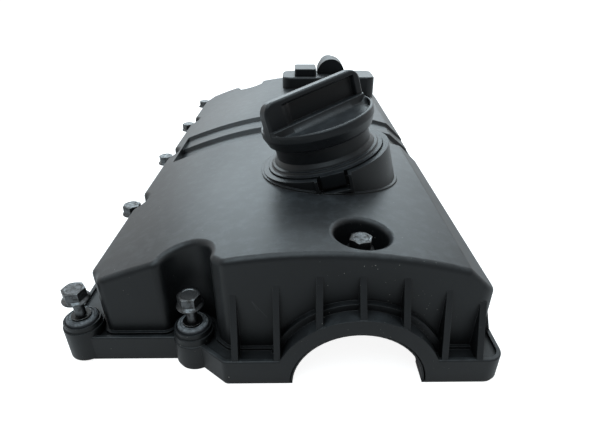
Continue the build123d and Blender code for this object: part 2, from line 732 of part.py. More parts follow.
def bolt_set(x, y, rise, suffix):
    """One captive bolt with its sleeve and grommet. Raised bolts are the same, lifted by rise."""
    with BuildPart() as bolt:
        with BuildSketch(Plane.XY.offset(rise)):
            with Locations((x, y)):
                Circle(THREAD_RADIUS)
        extrude(amount=THREAD_LENGTH)
        tip = bolt.faces().sort_by(Axis.Z)[0]
        chamfer(tip.edges(), BOLT_CHAMFER)
        with BuildSketch(Plane.XY.offset(rise + THREAD_LENGTH)):
            with Locations((x, y)):
                Circle(WAIST_RADIUS)
        extrude(amount=BOLT_UNDERHEAD - THREAD_LENGTH)
        with BuildSketch(Plane.XY.offset(rise + BOLT_UNDERHEAD)):
            with Locations((x, y)):
                Circle(BOLT_FLANGE_RADIUS)
        extrude(amount=BOLT_FLANGE_THICK)
        with BuildSketch(Plane.XY.offset(rise + BOLT_UNDERHEAD + BOLT_FLANGE_THICK)):
            with Locations((x, y)):
                RegularPolygon(HEX_ACROSS_FLATS / 2, 6, major_radius=False)
        extrude(amount=HEX_HEIGHT)
        with BuildPart(mode=Mode.INTERSECT) as crown_cone:
            with BuildSketch(Plane.XY.offset(rise)):
                with Locations((x, y)):
                    Circle(BOLT_FLANGE_RADIUS)
            extrude(amount=BOLT_UNDERHEAD + BOLT_FLANGE_THICK + HEX_HEIGHT)
            chamfer(crown_cone.faces().sort_by(Axis.Z)[-1].edges(), HEX_CROWN_HEIGHT, HEX_CROWN_WIDTH)
    bolt.part.label = f"bolt_{suffix}"

    with BuildPart() as sleeve:
        with BuildSketch(Plane.XY.offset(rise + SLEEVE_BASE)):
            with Locations((x, y)):
                Circle(SLEEVE_RADIUS)
                Circle(SLEEVE_BORE, mode=Mode.SUBTRACT)
        extrude(amount=SLEEVE_TOP - SLEEVE_BASE)
        with BuildSketch(Plane.XY.offset(rise + SLEEVE_TOP)):
            with Locations((x, y)):
                Circle(SLEEVE_BORE)
                Circle(SLEEVE_COLLAR_BORE, mode=Mode.SUBTRACT)
        extrude(amount=-SLEEVE_COLLAR)
    sleeve.part.label = f"bolt_sleeve_{suffix}"

    with BuildPart() as grommet:
        with BuildSketch(Plane.XY.offset(rise + GROMMET_BASE)):
            with Locations((x, y)):
                Circle(GROMMET_RADIUS)
        extrude(amount=BOSS_TOP - GROMMET_BASE)
        with BuildSketch(Plane.XY.offset(rise + BOSS_TOP - SEAT_DEPTH)):
            with Locations((x, y)):
                Circle(GROMMET_DISC_RADIUS)
        extrude(amount=SEAT_DEPTH + GROMMET_DISC_THICK)
        grommet_top = grommet.faces().sort_by(Axis.Z)[-1]
        chamfer(grommet_top.edges(), GROMMET_BEVEL_HEIGHT, GROMMET_BEVEL_WIDTH, reference=grommet_top)
        with Locations((x, y, rise)):
            Cylinder(SLEEVE_RADIUS + SLIP, 3 * BOSS_TOP, mode=Mode.SUBTRACT)
    grommet.part.label = f"bolt_grommet_{suffix}"
    return [bolt.part, sleeve.part, grommet.part]


fasteners = []
for number, (bolt_x, bolt_y, bolt_rise) in enumerate(bolt_places, start=1):
    fasteners += bolt_set(bolt_x, bolt_y, bolt_rise, number)

# Gasket: a lip under the whole flange, set back above so that it stands clear of the flange's edge, a bead
# in the flange's groove and a band round the arch.
with BuildPart() as cover_gasket:
    extrude(grown(flange_outline, -GASKET_EDGE), amount=GASKET_LIP)
    extrude(grown(flange_outline, -GASKET_SHADOW), amount=GASKET_THICK)
    with BuildSketch():
        add(cavity_outline)
    extrude(amount=GASKET_THICK, mode=Mode.SUBTRACT)
    extrude(bead_sketch(0).moved(Location((0, 0, GASKET_THICK))), amount=BEAD_HEIGHT)
    lip_back = GASKET_EDGE + ARCH_LIP
    add(arch_block(ARCH_RADIUS - GASKET_THICK + GASKET_LIP, ARCH_RADIUS - GASKET_THICK, GASKET_EDGE, lip_back))
    add(arch_block(ARCH_RADIUS - SLIP, ARCH_RADIUS - GASKET_THICK, lip_back, ARCH_LAND - GASKET_EDGE))
    with BuildSketch(front_plane(FRONT)):
        with Locations((ARCH_X, ARCH_LEVEL)):
            Circle(ARCH_RADIUS - GASKET_THICK)
    extrude(amount=-ARCH_LAND, mode=Mode.SUBTRACT)
    for x, y in low_bolts:
        with Locations((x, y, 0)):
            Cylinder(GROMMET_RADIUS + SLIP, 3 * GASKET_THICK, mode=Mode.SUBTRACT)
cover_gasket.part.label = "cover_gasket"

# Filler neck: a tube with a stepped flange, a latch for the collar's window and two bayonet ledges.
seat_height = -RECESS_DEPTH + NECK_SEAL_THICK
with BuildPart() as filler_neck:
    neck_outline = [
        (NECK_BORE / 2, -NECK_BOTTOM),
        (NECK_RADIUS, -NECK_BOTTOM),
        (NECK_RADIUS, seat_height),
        (NECK_FLANGE_RADIUS, seat_height),
        (NECK_FLANGE_RADIUS, NECK_FLANGE_PROUD),
        (NECK_FLANGE_RADIUS - NECK_FLANGE_EDGE, NECK_FLANGE_PROUD),
    ]
    step_level = NECK_FLANGE_PROUD
    for step_radius in NECK_STEP_RADII:
        neck_outline.append((step_radius, step_level + NECK_STEP - NECK_STEP_SLOPE))
        neck_outline.append((step_radius - NECK_STEP_SLOPE / 2, step_level + NECK_STEP))
        step_level += NECK_STEP
    neck_outline += [(NECK_RADIUS, step_level + NECK_FOOT), (NECK_RADIUS, NECK_TOP), (NECK_BORE / 2, NECK_TOP)]
    add(filler_turned(neck_outline))
    add(window_block(LATCH_WIDTH, LATCH_DEPTH, WINDOW_FLOOR_RADIUS + SLIP, LATCH_RADIUS, NECK_FLANGE_PROUD))
    add(filler_disc(NECK_BORE, -NECK_BOTTOM, NECK_TOP), mode=Mode.SUBTRACT)
    with BuildPart() as ledges:
        add(filler_disc(NECK_BORE, LEDGE_TOP - LEDGE_THICK, LEDGE_TOP))
        add(filler_disc(LEDGE_BORE, 0, 2 * LEDGE_TOP), mode=Mode.SUBTRACT)
        add(sector(2 * NECK_BORE, LEDGE_GAP, 0, 2 * LEDGE_TOP), mode=Mode.SUBTRACT)
    add(ledges.part)
filler_neck.part.label = "filler_neck"

with BuildPart() as neck_seal:
    add(filler_disc(RECESS_RADIUS - 2 * SLIP, -RECESS_DEPTH, seat_height))
    add(filler_disc(RECESS_RADIUS - 2 * SLIP - NECK_SEAL_WIDTH, -RECESS_DEPTH, seat_height), mode=Mode.SUBTRACT)
    add(
        window_block(WINDOW_WIDTH + 2, 2 * RECESS_DEPTH, WINDOW_FLOOR_RADIUS - SLIP, COLLAR_RADIUS, 0),
        mode=Mode.SUBTRACT,
    )
neck_seal.part.label = "neck_seal"

# Filler cap: skirt, deck with a rim, wing bar with a pocket in each face, and a plug with two lugs.
cap_ceiling = NECK_TOP + CAP_SEAL_GAP + CAP_SEAL_THICK
bar_direction = Vector(1, 0, 0).rotate(Axis.Z, CAP_TURN)
across_bar = Plane(
    origin=filler_plane.from_local_coords(Vector(0, 0, 0)),
    x_dir=filler_plane.from_local_coords(Vector(0, 1, 0).rotate(Axis.Z, CAP_TURN)) - filler_plane.origin,
    z_dir=filler_plane.from_local_coords(bar_direction) - filler_plane.origin,
)
bar_up = 1 if across_bar.y_dir.Z > 0 else -1
with BuildPart() as filler_cap:
    with BuildSketch(across_bar.offset(-CAP_RADIUS)) as bar_section:
        with BuildLine():
            half = [
                (CAP_RADIUS, CAP_SKIRT_BASE),
                (CAP_RADIUS, CAP_TROUGH),
                (BAR_APRON, CAP_TROUGH),
                (BAR_HALF_WIDTH + BAR_LEDGE_WIDTH, BAR_LEDGE),
                (BAR_HALF_WIDTH, BAR_LEDGE),
                (BAR_HALF_WIDTH - BAR_TAPER, BAR_TOP),
            ]
            other = [(-v, h) for v, h in reversed(half)]
            Polyline(*[(v, bar_up * h) for v, h in half + other], close=True)
        make_face()
        for side in (1, -1):
            ledge_corner = (side * (BAR_HALF_WIDTH + BAR_LEDGE_WIDTH), bar_up * BAR_LEDGE, 0)
            fillet(bar_section.vertices().sort_by_distance(ledge_corner)[0], BAR_LEDGE_ROUND)
            apron_corner = (side * BAR_APRON, bar_up * CAP_TROUGH, 0)
            fillet(bar_section.vertices().sort_by_distance(apron_corner)[0], BAR_APRON_ROUND)
    extrude(amount=2 * CAP_RADIUS)
    skirt_foot = (CAP_FOOT_RADIUS, CAP_SKIRT_BASE)
    shoulder = (CAP_RADIUS, BAR_TOP)
    skirt_bulge = (CAP_RADIUS, CAP_SKIRT_BASE + CAP_TAPER_HEIGHT)
    cap_outline = [(0, CAP_SKIRT_BASE), skirt_foot, skirt_bulge, shoulder, (0, BAR_TOP)]
    add(
        filler_turned(cap_outline, [(skirt_foot, CAP_FOOT_ROUND), (shoulder, CAP_SHOULDER)]),
        mode=Mode.INTERSECT,
    )

    # The wing's outer edges, from foot to foot over both shoulders
    wing_edges = filler_cap.edges().filter_by(
        lambda e: filler_plane.to_local_coords(e @ 0.5).Z > BAR_LEDGE + BAR_LEDGE_ROUND
        and abs(filler_plane.to_local_coords(e @ 0.5).rotate(Axis.Z, -CAP_TURN).Y) > BAR_ROUND
    )
    fillet(wing_edges, BAR_ROUND)

    # A pocket in each face of the wing, with slanted ends and a rounded mouth
    pocket_face = BAR_POCKET_DEPTH - BAR_HALF_WIDTH
    pocket_outline = [
        (-BAR_POCKET_LEFT - BAR_POCKET_SLANT, -CAP_RADIUS / 2),
        (-BAR_POCKET_LEFT - BAR_POCKET_SLANT, -BAR_HALF_WIDTH),
        (-BAR_POCKET_LEFT, pocket_face),
        (BAR_POCKET_RIGHT, pocket_face),
        (BAR_POCKET_RIGHT + BAR_POCKET_SLANT / 2, -BAR_HALF_WIDTH),
        (BAR_POCKET_RIGHT + BAR_POCKET_SLANT / 2, -CAP_RADIUS / 2),
    ]
    for turn in (CAP_TURN, CAP_TURN + 180):
        with BuildSketch(filler_plane.offset(BAR_LEDGE)) as pocket_plan:
            with BuildLine():
                turned_outline = [Vector(u, v).rotate(Axis.Z, turn) for u, v in pocket_outline]
                Polyline(*turned_outline, close=True)
            make_face()
            for corner in turned_outline[2:4]:
                fillet(pocket_plan.vertices().sort_by_distance(corner)[0], BAR_POCKET_CORNER)
        extrude(amount=BAR_POCKET_TOP - BAR_LEDGE, mode=Mode.SUBTRACT)
    mouth_edges = []
    for edge in filler_cap.edges().filter_by(GeomType.LINE):
        middle = filler_plane.to_local_coords(edge @ 0.5).rotate(Axis.Z, -CAP_TURN)
        beside_pocket = abs(middle.X) < BAR_POCKET_RIGHT + BAR_POCKET_SLANT
        on_wing_face = abs(middle.Y) > BAR_HALF_WIDTH - BAR_POCKET_DEPTH / 2
        if BAR_LEDGE + BAR_POCKET_MOUTH < middle.Z < BAR_POCKET_TOP + SLIP and beside_pocket and on_wing_face:
            mouth_edges.append(edge)
    fillet(mouth_edges, BAR_POCKET_MOUTH)
    with BuildPart() as rim_ring:
        add(filler_disc(CAP_RADIUS, CAP_TROUGH - 1, CAP_RIM_TOP))
        add(filler_disc(CAP_RADIUS - CAP_RIM_WIDTH, 0, 2 * CAP_RIM_TOP), mode=Mode.SUBTRACT)
        fillet(rim_ring.edges().sort_by(Axis(filler_plane.origin, filler_plane.z_dir))[-2:], CAP_RIM_ROUND)
    add(rim_ring.part)
    add(filler_disc(CAP_SKIRT_BORE, CAP_SKIRT_BASE - 1, cap_ceiling), mode=Mode.SUBTRACT)
    add(filler_disc(PLUG_RADIUS, PLUG_BASE, CAP_TROUGH - 1))
    lug_top = LEDGE_TOP - LEDGE_THICK - LUG_GAP
    with BuildPart() as lugs:
        add(filler_disc(LUG_RADIUS, lug_top - LUG_THICK, lug_top))
        add(sector(2 * LUG_RADIUS, LUG_ANGLE, 0, lug_top), mode=Mode.INTERSECT)
    add(lugs.part)
    add(filler_disc(PLUG_RADIUS - PLUG_WALL, PLUG_BASE, cap_ceiling), mode=Mode.SUBTRACT)
filler_cap.part.label = "filler_cap"

with BuildPart() as cap_seal:
    add(filler_disc(CAP_SEAL_OUTER, NECK_TOP + CAP_SEAL_GAP, cap_ceiling))
    add(filler_disc(CAP_SEAL_INNER, 0, 2 * cap_ceiling), mode=Mode.SUBTRACT)
cap_seal.part.label = "cap_seal"

# Breather lid with a round plug into the tower's roof
with BuildPart() as breather_lid:
    with BuildSketch(Plane.XY.offset(TOWER_LEVEL)):
        with Locations((lid_x, lid_y)):
            RectangleRounded(LID_RIGHT - LID_LEFT, LID_FAR - LID_NEAR, LID_CORNER)
    extrude(amount=LID_HEIGHT)
    fillet(breather_lid.faces().sort_by(Axis.Z)[-1].edges(), LID_ROUND)
    add(column(lid_x, lid_y, LID_PLUG_RADIUS, TOWER_LEVEL - LID_PLUG_LENGTH, TOWER_LEVEL))
breather_lid.part.label = "breather_lid"

# Hose outlet: a barrel lying in the tower's roof, a nipple down into the chamber and a hose stub
outlet_near = FRONT + OUTLET_NEAR
outlet_far = FRONT + TOWER_FAR + OUTLET_OVERHANG
stub_end = BACK - STUB_REACH
with BuildPart() as hose_outlet:
    with BuildSketch(front_plane(outlet_near)):
        with Locations((OUTLET_X, OUTLET_LEVEL)):
            Circle(OUTLET_RADIUS)
    extrude(amount=outlet_near - outlet_far)
    with BuildSketch(front_plane(outlet_far)):
        with Locations((OUTLET_X, OUTLET_LEVEL)):
            Circle(STUB_RADIUS)
    extrude(amount=outlet_far - stub_end)
    chamfer(hose_outlet.faces().sort_by(Axis.Y)[-1].edges(), STUB_CHAMFER)
    with BuildSketch(front_plane(stub_end - STUB_GRIP)):
        with Locations((OUTLET_X, OUTLET_LEVEL)):
            Circle(STUB_RADIUS + STUB_BEAD)
    extrude(amount=STUB_BEAD_WIDTH)
    nipple_top = OUTLET_LEVEL
    nipple_low = OUTLET_LEVEL - OUTLET_RADIUS - NIPPLE_LENGTH
    add(column(OUTLET_X, nipple_y, NIPPLE_RADIUS, nipple_low, nipple_top))
    with BuildSketch(front_plane(outlet_near + OUTLET_WALL)):
        with Locations((OUTLET_X, OUTLET_LEVEL)):
            Circle(STUB_BORE)
    extrude(amount=-COVER_LENGTH, mode=Mode.SUBTRACT)
    add(column(OUTLET_X, nipple_y, NIPPLE_BORE, nipple_low - 1, nipple_top), mode=Mode.SUBTRACT)
hose_outlet.part.label = "hose_outlet"

# Flat ring under the barrel, round the nipple
with BuildPart() as outlet_ring:
    ring_top = OUTLET_LEVEL - OUTLET_RADIUS - WALL - SLIP
    add(column(OUTLET_X, nipple_y, NIPPLE_RADIUS + RING_WIDTH, ring_top - RING_THICK, ring_top))
    add(column(OUTLET_X, nipple_y, NIPPLE_RADIUS + SLIP, 0, 2 * ring_top), mode=Mode.SUBTRACT)
outlet_ring.part.label = "outlet_ring"

# Separator floor under the breather chamber, slotted for the oil mist, with its screws
with BuildPart() as baffle_plate:
    add(tower_box(0, BAFFLE_LEVEL, BAFFLE_LEVEL + BAFFLE_THICK))
    slot_y = FRONT + (TOWER_NEAR + TOWER_FAR) / 2
    with BuildSketch(Plane.XY.offset(BAFFLE_LEVEL)):
        with Locations(((TOWER_LEFT + TOWER_RIGHT) / 2, slot_y)):
            with GridLocations(SLOT_PITCH, 0, SLOT_COUNT, 1):
                SlotOverall(SLOT_LENGTH, SLOT_WIDTH, rotation=90)
        with Locations(*screw_places):
            Circle(SCREW_RADIUS + SLIP)
    extrude(amount=BAFFLE_THICK, mode=Mode.SUBTRACT)
baffle_plate.part.label = "baffle_plate"

with BuildPart() as baffle_screws:
    for x, y in screw_places:
        screw_top = BAFFLE_LEVEL + BAFFLE_THICK + SCREW_LENGTH - 1
        add(column(x, y, SCREW_RADIUS, BAFFLE_LEVEL - SCREW_HEAD_THICK, screw_top))
        add(column(x, y, SCREW_HEAD_RADIUS, BAFFLE_LEVEL - SCREW_HEAD_THICK, BAFFLE_LEVEL))
baffle_screws.part.label = "baffle_screws"

pieces = [
    cover_shell.part,
    cover_gasket.part,
    filler_neck.part,
    neck_seal.part,
    filler_cap.part,
    cap_seal.part,
    breather_lid.part,
    hose_outlet.part,
    outlet_ring.part,
    baffle_plate.part,
    baffle_screws.part,
] + fasteners

os.makedirs("parts", exist_ok=True)
for piece in pieces:
    export_step(piece, f"parts/{piece.label}.step")
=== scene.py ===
"""Looks of a moulded engine valve cover: mouldings, turned bolts, rubber, worn finishes and a pale stage.

Everything is in metres in the cover's own frame: X to the right, Y to the far end, Z up from the ground.
"""

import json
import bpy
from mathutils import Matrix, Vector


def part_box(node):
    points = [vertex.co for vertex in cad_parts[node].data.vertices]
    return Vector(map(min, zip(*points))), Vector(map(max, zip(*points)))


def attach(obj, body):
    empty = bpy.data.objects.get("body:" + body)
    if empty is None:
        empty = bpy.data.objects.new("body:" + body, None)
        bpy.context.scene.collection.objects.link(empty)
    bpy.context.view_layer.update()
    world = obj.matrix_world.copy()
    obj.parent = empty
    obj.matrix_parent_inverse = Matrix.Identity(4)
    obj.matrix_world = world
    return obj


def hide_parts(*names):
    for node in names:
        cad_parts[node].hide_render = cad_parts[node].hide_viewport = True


bl_info = {
    "name": "Valve Cover Looks",
    "version": (1, 0, 0),
    "blender": (4, 5, 0),
    "location": "3D View > Sidebar > Valve Cover",
    "description": "Dresses an engine valve cover with its finishes, bolts, rubber and stage",
    "category": "Object",
}

from math import pi, radians

import bpy
import numpy as np
from bpy.props import FloatProperty, FloatVectorProperty, PointerProperty
from mathutils import Matrix, Vector

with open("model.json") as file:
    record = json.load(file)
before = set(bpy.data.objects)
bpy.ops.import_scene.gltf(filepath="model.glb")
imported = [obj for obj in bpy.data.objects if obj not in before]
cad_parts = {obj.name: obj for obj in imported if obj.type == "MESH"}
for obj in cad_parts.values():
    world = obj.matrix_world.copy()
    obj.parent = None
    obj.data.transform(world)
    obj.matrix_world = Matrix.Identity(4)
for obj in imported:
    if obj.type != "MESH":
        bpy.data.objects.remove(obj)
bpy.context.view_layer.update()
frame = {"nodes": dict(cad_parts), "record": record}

MM = 0.001
BODY_OF_NODE = {
    node: body for body, members in frame["record"]["behaviour"]["bodies"].items() for node in members
}
BOLT_COUNT = sum(1 for node in frame["nodes"] if node.startswith("bolt_sleeve_"))


# Property groups: what a user would change


def colour(name, value, words):
    """A colour property with its default value."""
    return FloatVectorProperty(
        name=name, description=words, subtype="COLOR", size=3, min=0.0, max=1.0, default=value
    )


def length(name, value_mm, words):
    """A length property whose default is written in millimetres."""
    return FloatProperty(
        name=name, description=words, unit="LENGTH", min=0.0, default=value_mm * MM, precision=5
    )


def share(name, value, words):
    """A plain number between nothing and one."""
    return FloatProperty(name=name, description=words, min=0.0, max=1.0, default=value)


class PlasticFinish(bpy.types.PropertyGroup):
    """Black glass-filled moulding of the cover, neck and cap."""

    cover_colour: colour("Cover colour", (0.008, 0.009, 0.010), "Colour of the cover's moulding")
    cap_colour: colour("Cap colour", (0.012, 0.0135, 0.015), "Colour of the filler cap's moulding")
    neck_colour: colour("Neck colour", (0.006, 0.0072, 0.0085), "Colour of the filler neck and the breather")
    # Besides a real dusting, this colour paints a sheen on faces that look up, and it also colours the
    # scuffs.
    dust_and_sheen_colour: colour("Dust colour", (0.075, 0.083, 0.090), "Colour of the fine dust on faces that look up")
    worn_colour: colour("Worn edge colour", (0.05, 0.053, 0.055), "Colour of a rubbed edge")
    speck_colour: colour("Speck colour", (0.30, 0.29, 0.26), "Colour of tiny specks of dirt")
    cover_specular: share("Cover gloss", 0.30, "Strength of the cover's mirrored light")
    cap_specular: share("Cap gloss", 0.22, "Strength of the cap's and the neck's mirrored light")
    cover_roughness: share("Cover roughness", 0.42, "Roughness of the cover's satin surface")
    cap_roughness: share("Cap roughness", 0.36, "Roughness of the cap's satin surface")
    edge_round: length("Edge rounding", 0.45, "Radius that the moulding's sharp edges seem to have")


class MetalFinish(bpy.types.PropertyGroup):
    """Dull zinc plating of the bolts and the bare steel of the sleeves."""

    plate_colour: colour("Plating colour", (0.11, 0.115, 0.12), "Colour of the dull zinc plating")
    stain_colour: colour("Stain colour", (0.026, 0.023, 0.020), "Colour of the dark stains in the plating")
    bright_colour: colour("Worn colour", (0.42, 0.42, 0.41), "Colour of a worn bright edge")
    sleeve_colour: colour("Sleeve colour", (0.036, 0.036, 0.036), "Colour of the turned sleeves")
    roughness: share("Roughness", 0.42, "Roughness of the plating")


class RubberFinish(bpy.types.PropertyGroup):
    """Matt black rubber of the gasket, seals and grommets."""

    gasket_colour: colour("Gasket colour", (0.022, 0.023, 0.024), "Colour of the gasket and the seals")
    grommet_colour: colour("Grommet colour", (0.034, 0.036, 0.040), "Colour of the bolts' grommets")
    # This colour also paints a sheen on the rubber's faces that look up, strongest on the grommets.
    chalk_and_sheen_colour: colour("Chalk colour", (0.30, 0.315, 0.33), "Colour of the dusty bloom on rubber")
    roughness: share("Roughness", 0.68, "Roughness of the rubber")


class BoltSizes(bpy.types.PropertyGroup):
    """Sizes of a captive bolt that its outline in the frame doesn't give."""

    across_flats: length("Across flats", 10.0, "Width of the hexagon across two flats")
    hex_height: length("Hexagon height", 5.2, "Height of the hexagon over the bolt's flange")
    flange_edge: length("Flange edge", 0.9, "Height of the flange's upright edge")
    flange_thick: length("Flange thickness", 1.5, "Height of the flange at the hexagon's foot")
    crown_width: length("Crown width", 0.25, "How far the hexagon's round chamfer cuts into its flats")
    crown_slope: length("Crown slope", 0.7, "Height of the round chamfer over the cone's reach")
    dish_radius: length("Dish radius", 3.9, "Radius of the shallow dish in the head's top")
    dish_depth: length("Dish depth", 0.25, "Depth of the shallow dish in the head's top")
    thread_radius: length("Thread radius", 3.0, "Outer radius of the thread")
    thread_pitch: length("Thread pitch", 1.0, "Distance from one turn of the thread to the next")
    thread_depth: length("Thread depth", 0.54, "Depth of the thread's groove")
    thread_length: length("Thread length", 19.1, "Length of the threaded end")
    waist_radius: length("Waist radius", 2.6, "Radius of the plain waist")
    tip_chamfer: length("Tip chamfer", 0.8, "Chamfer at the bolt's tip")


class CapSizes(bpy.types.PropertyGroup):
    """Sizes of the winged filler cap. Heights are above the collar's face."""

    foot: FloatVectorProperty(
        name="Cap foot", description="Where the cap's axis meets the collar's face", subtype="XYZ", size=3,
        default=(0.0273, -0.0855, 0.0771),
    )
    lean: FloatProperty(
        name="Lean", description="How far the axis leans to the left", subtype="ANGLE", default=radians(14.0)
    )
    turn: FloatProperty(
        name="Turn", description="How far the wing is turned at rest", subtype="ANGLE", default=radians(33.0)
    )
    radius: length("Radius", 33.5, "Radius of the cap's skirt")
    foot_radius: length("Foot radius", 31.0, "Radius of the skirt's lower edge")
    foot_height: length("Foot height", 13.6, "Height of the skirt's lower edge")
    taper_height: length("Taper height", 6.4, "Height over which the skirt widens")
    bore: length("Bore", 29.4, "Inner radius of the skirt")
    ceiling: length("Ceiling", 19.75, "Height of the hollow's ceiling")
    plug_radius: length("Plug radius", 20.6, "Radius of the plug")
    plug_bore: length("Plug bore", 18.0, "Inner radius of the plug")
    lug_radius: length("Lug radius", 23.6, "Radius over the plug's two lugs")
    lug_low: length("Lug foot", 1.8, "Height of the lugs' underside")
    lug_high: length("Lug top", 5.0, "Height of the lugs' top")
    lug_half_angle: FloatProperty(
        name="Lug half angle", description="Half the angle that a lug spans", subtype="ANGLE",
        default=radians(21.0),
    )
    wing_top: length("Wing top", 41.5, "Height of the wing")
    wing_foot: length("Wing foot", 26.4, "Height of the ledge at the wing's foot")
    wing_half: length("Wing half width", 4.3, "Half the wing's thickness at its foot")
    wing_taper: length("Wing taper", 0.6, "What the wing loses on each face up to its top")
    wing_round: length("Wing rounding", 1.8, "Radius of the wing's upper edges")
    shoulder: length("Shoulder", 7.0, "Radius of the wing's shoulders")
    pocket_depth: length("Pocket depth", 3.3, "Depth of the pocket in each face of the wing")
    ledge: length("Ledge", 2.2, "Width of the rounded ledge at the wing's foot")
    rim_top: length("Rim top", 24.4, "Height of the rounded rim")
    rim_width: length("Rim width", 3.4, "Width of the rounded rim")
    rim_round: length("Rim rounding", 1.4, "Radius of the rim's edges")
    trough: length("Trough depth", 3.6, "Depth of the trough below the rim's top")


# Where the pocket in the wing's faces begins and where it has its full depth: along the wing from the cap's
# axis at its left and right ends, and in height. Below POCKET_FULL the wing's rings are spaced wider.
POCKET_LEFT = (-23.0 * MM, -15.5 * MM)
POCKET_RIGHT = (28.8 * MM, 27.6 * MM)
POCKET_TOP = (38.7 * MM, 37.5 * MM)
POCKET_FULL = 37.2 * MM
# The deck round the wing: the ledge's rounding, the largest share of a narrow deck that the ledge or the rim
# takes, the width at which the trough has its full depth, and how the apron falls from the ledge.
LEDGE_BEAD = 1.0 * MM
EDGE_SHARE = 0.42
TROUGH_GAP = 9.0 * MM
APRON_POWER = 2.6
APRON_SHARE = 0.55
# The rounding of the skirt's foot, and the reach of the cone on the bolts' hexagons.
SKIRT_ROUND = 1.2 * MM
CONE_REACH = 1.9 * MM


class StageSettings(bpy.types.PropertyGroup):
    """Floor, lights and camera."""

    floor_radius: length("Floor radius", 6000.0, "Radius of the floor's disc")
    floor_colour: colour("Floor colour", (0.60, 0.60, 0.60), "Colour of the floor")
    camera_place: FloatVectorProperty(
        name="Camera place", description="Where the camera stands", subtype="XYZ", size=3,
        default=(0.0103, -0.3397, 0.1737),
    )
    camera_pitch: FloatProperty(
        name="Camera pitch", description="How far the camera looks down", subtype="ANGLE",
        default=radians(30.0),
    )
    camera_yaw: FloatProperty(
        name="Camera yaw", description="How far the camera turns to the right", subtype="ANGLE",
        default=radians(0.56),
    )
    camera_focal_px: FloatProperty(
        name="Focal length in pixels", description="Focal length for the picture's width", default=440.0
    )
    picture_width_px: FloatProperty(
        name="Picture width in pixels", description="Width of the picture", default=602.0
    )
    floor_glow: FloatProperty(
        name="Floor glow", description="What makes the lit floor white where the camera sees it",
        default=0.90,
    )
    sky_strength: FloatProperty(name="Sky strength", description="Light from all round", default=0.22)
    front_shade: FloatProperty(
        name="Front shade", description="Brightness of the room before the object, as gloss mirrors it",
        default=0.3,
    )
    back_power: FloatProperty(
        name="Back light power", description="Power of the soft light behind", default=38.0
    )
    top_power: FloatProperty(
        name="Top light power", description="Power of the soft light above", default=27.0
    )
    light_colour: colour("Light colour", (0.76, 0.92, 1.0), "Cool daylight of the two soft lights")


# Meshes worked out with numpy


def grid_object(name, rings, closed_ends=True):
    """An object whose surface is a grid of rings of points, each ring closed on itself.

    rings has the shape (number of rings, points in a ring, 3). Neighbouring points of neighbouring rings make
    four-sided faces. The first and last ring are closed by fans about their middles, or joined to each other
    where closed_ends is False, as on a tube with a bore.
    """
    count, around, _ = rings.shape
    ring_index = np.arange(count * around).reshape(count, around)
    lower = ring_index if not closed_ends else ring_index[:-1]
    upper = np.roll(ring_index, -1, axis=0) if not closed_ends else ring_index[1:]
    quads = np.stack([lower, np.roll(lower, -1, axis=1), np.roll(upper, -1, axis=1), upper], axis=-1)
    faces = quads.reshape(-1, 4).tolist()
    points = rings.reshape(-1, 3)
    if closed_ends:
        middles = np.stack([rings[0].mean(axis=0), rings[-1].mean(axis=0)])
        points = np.vstack([points, middles])
        first_middle = count * around
        first, last = ring_index[0], ring_index[-1]
        start = np.stack([np.roll(first, -1), first, np.full(around, first_middle)], axis=-1)
        end = np.stack([last, np.roll(last, -1), np.full(around, first_middle + 1)], axis=-1)
        faces += start.tolist() + end.tolist()
    mesh = bpy.data.meshes.new(name)
    mesh.from_pydata(points.tolist(), [], faces)
    made = bpy.data.objects.new(name, mesh)
    bpy.context.scene.collection.objects.link(made)
    return made


def turned_rings(radii, heights, centre):
    """Rings round a vertical axis: the point at angle a on ring k is centre + (r cos a, r sin a, h).

    radii and heights have the shape (number of rings, points in a ring).
    """
    angles = np.linspace(0.0, 2 * pi, radii.shape[1], endpoint=False)
    x = centre[0] + radii * np.cos(angles)
    y = centre[1] + radii * np.sin(angles)
    return np.stack([x, y, centre[2] + heights], axis=-1)


def soft_step(value, low, high):
    """Nothing up to low and one from high on, and 3 t squared less 2 t cubed between them."""
    t = np.clip((value - low) / (high - low), 0.0, 1.0)
    return t * t * (3 - 2 * t)


def smooth(obj, sharp_angle):
    """Shades obj smooth, apart from edges that turn by more than sharp_angle degrees."""
    for polygon in obj.data.polygons:
        polygon.use_smooth = True
    obj.data.set_sharp_from_angle(angle=radians(sharp_angle))


def dress(obj, node, material):
    """obj takes the place of a CAD node: it rides on the node's body and wears the node's finish."""
    obj.data.materials.clear()
    obj.data.materials.append(material)
    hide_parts(node)
    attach(obj, BODY_OF_NODE[node])
    return obj


def paint(material, *nodes):
    """Gives CAD nodes whose shape is right a better material. They keep their own meshes and normals."""
    for node in nodes:
        for slot in frame["nodes"][node].material_slots:
            slot.material = material


# Materials


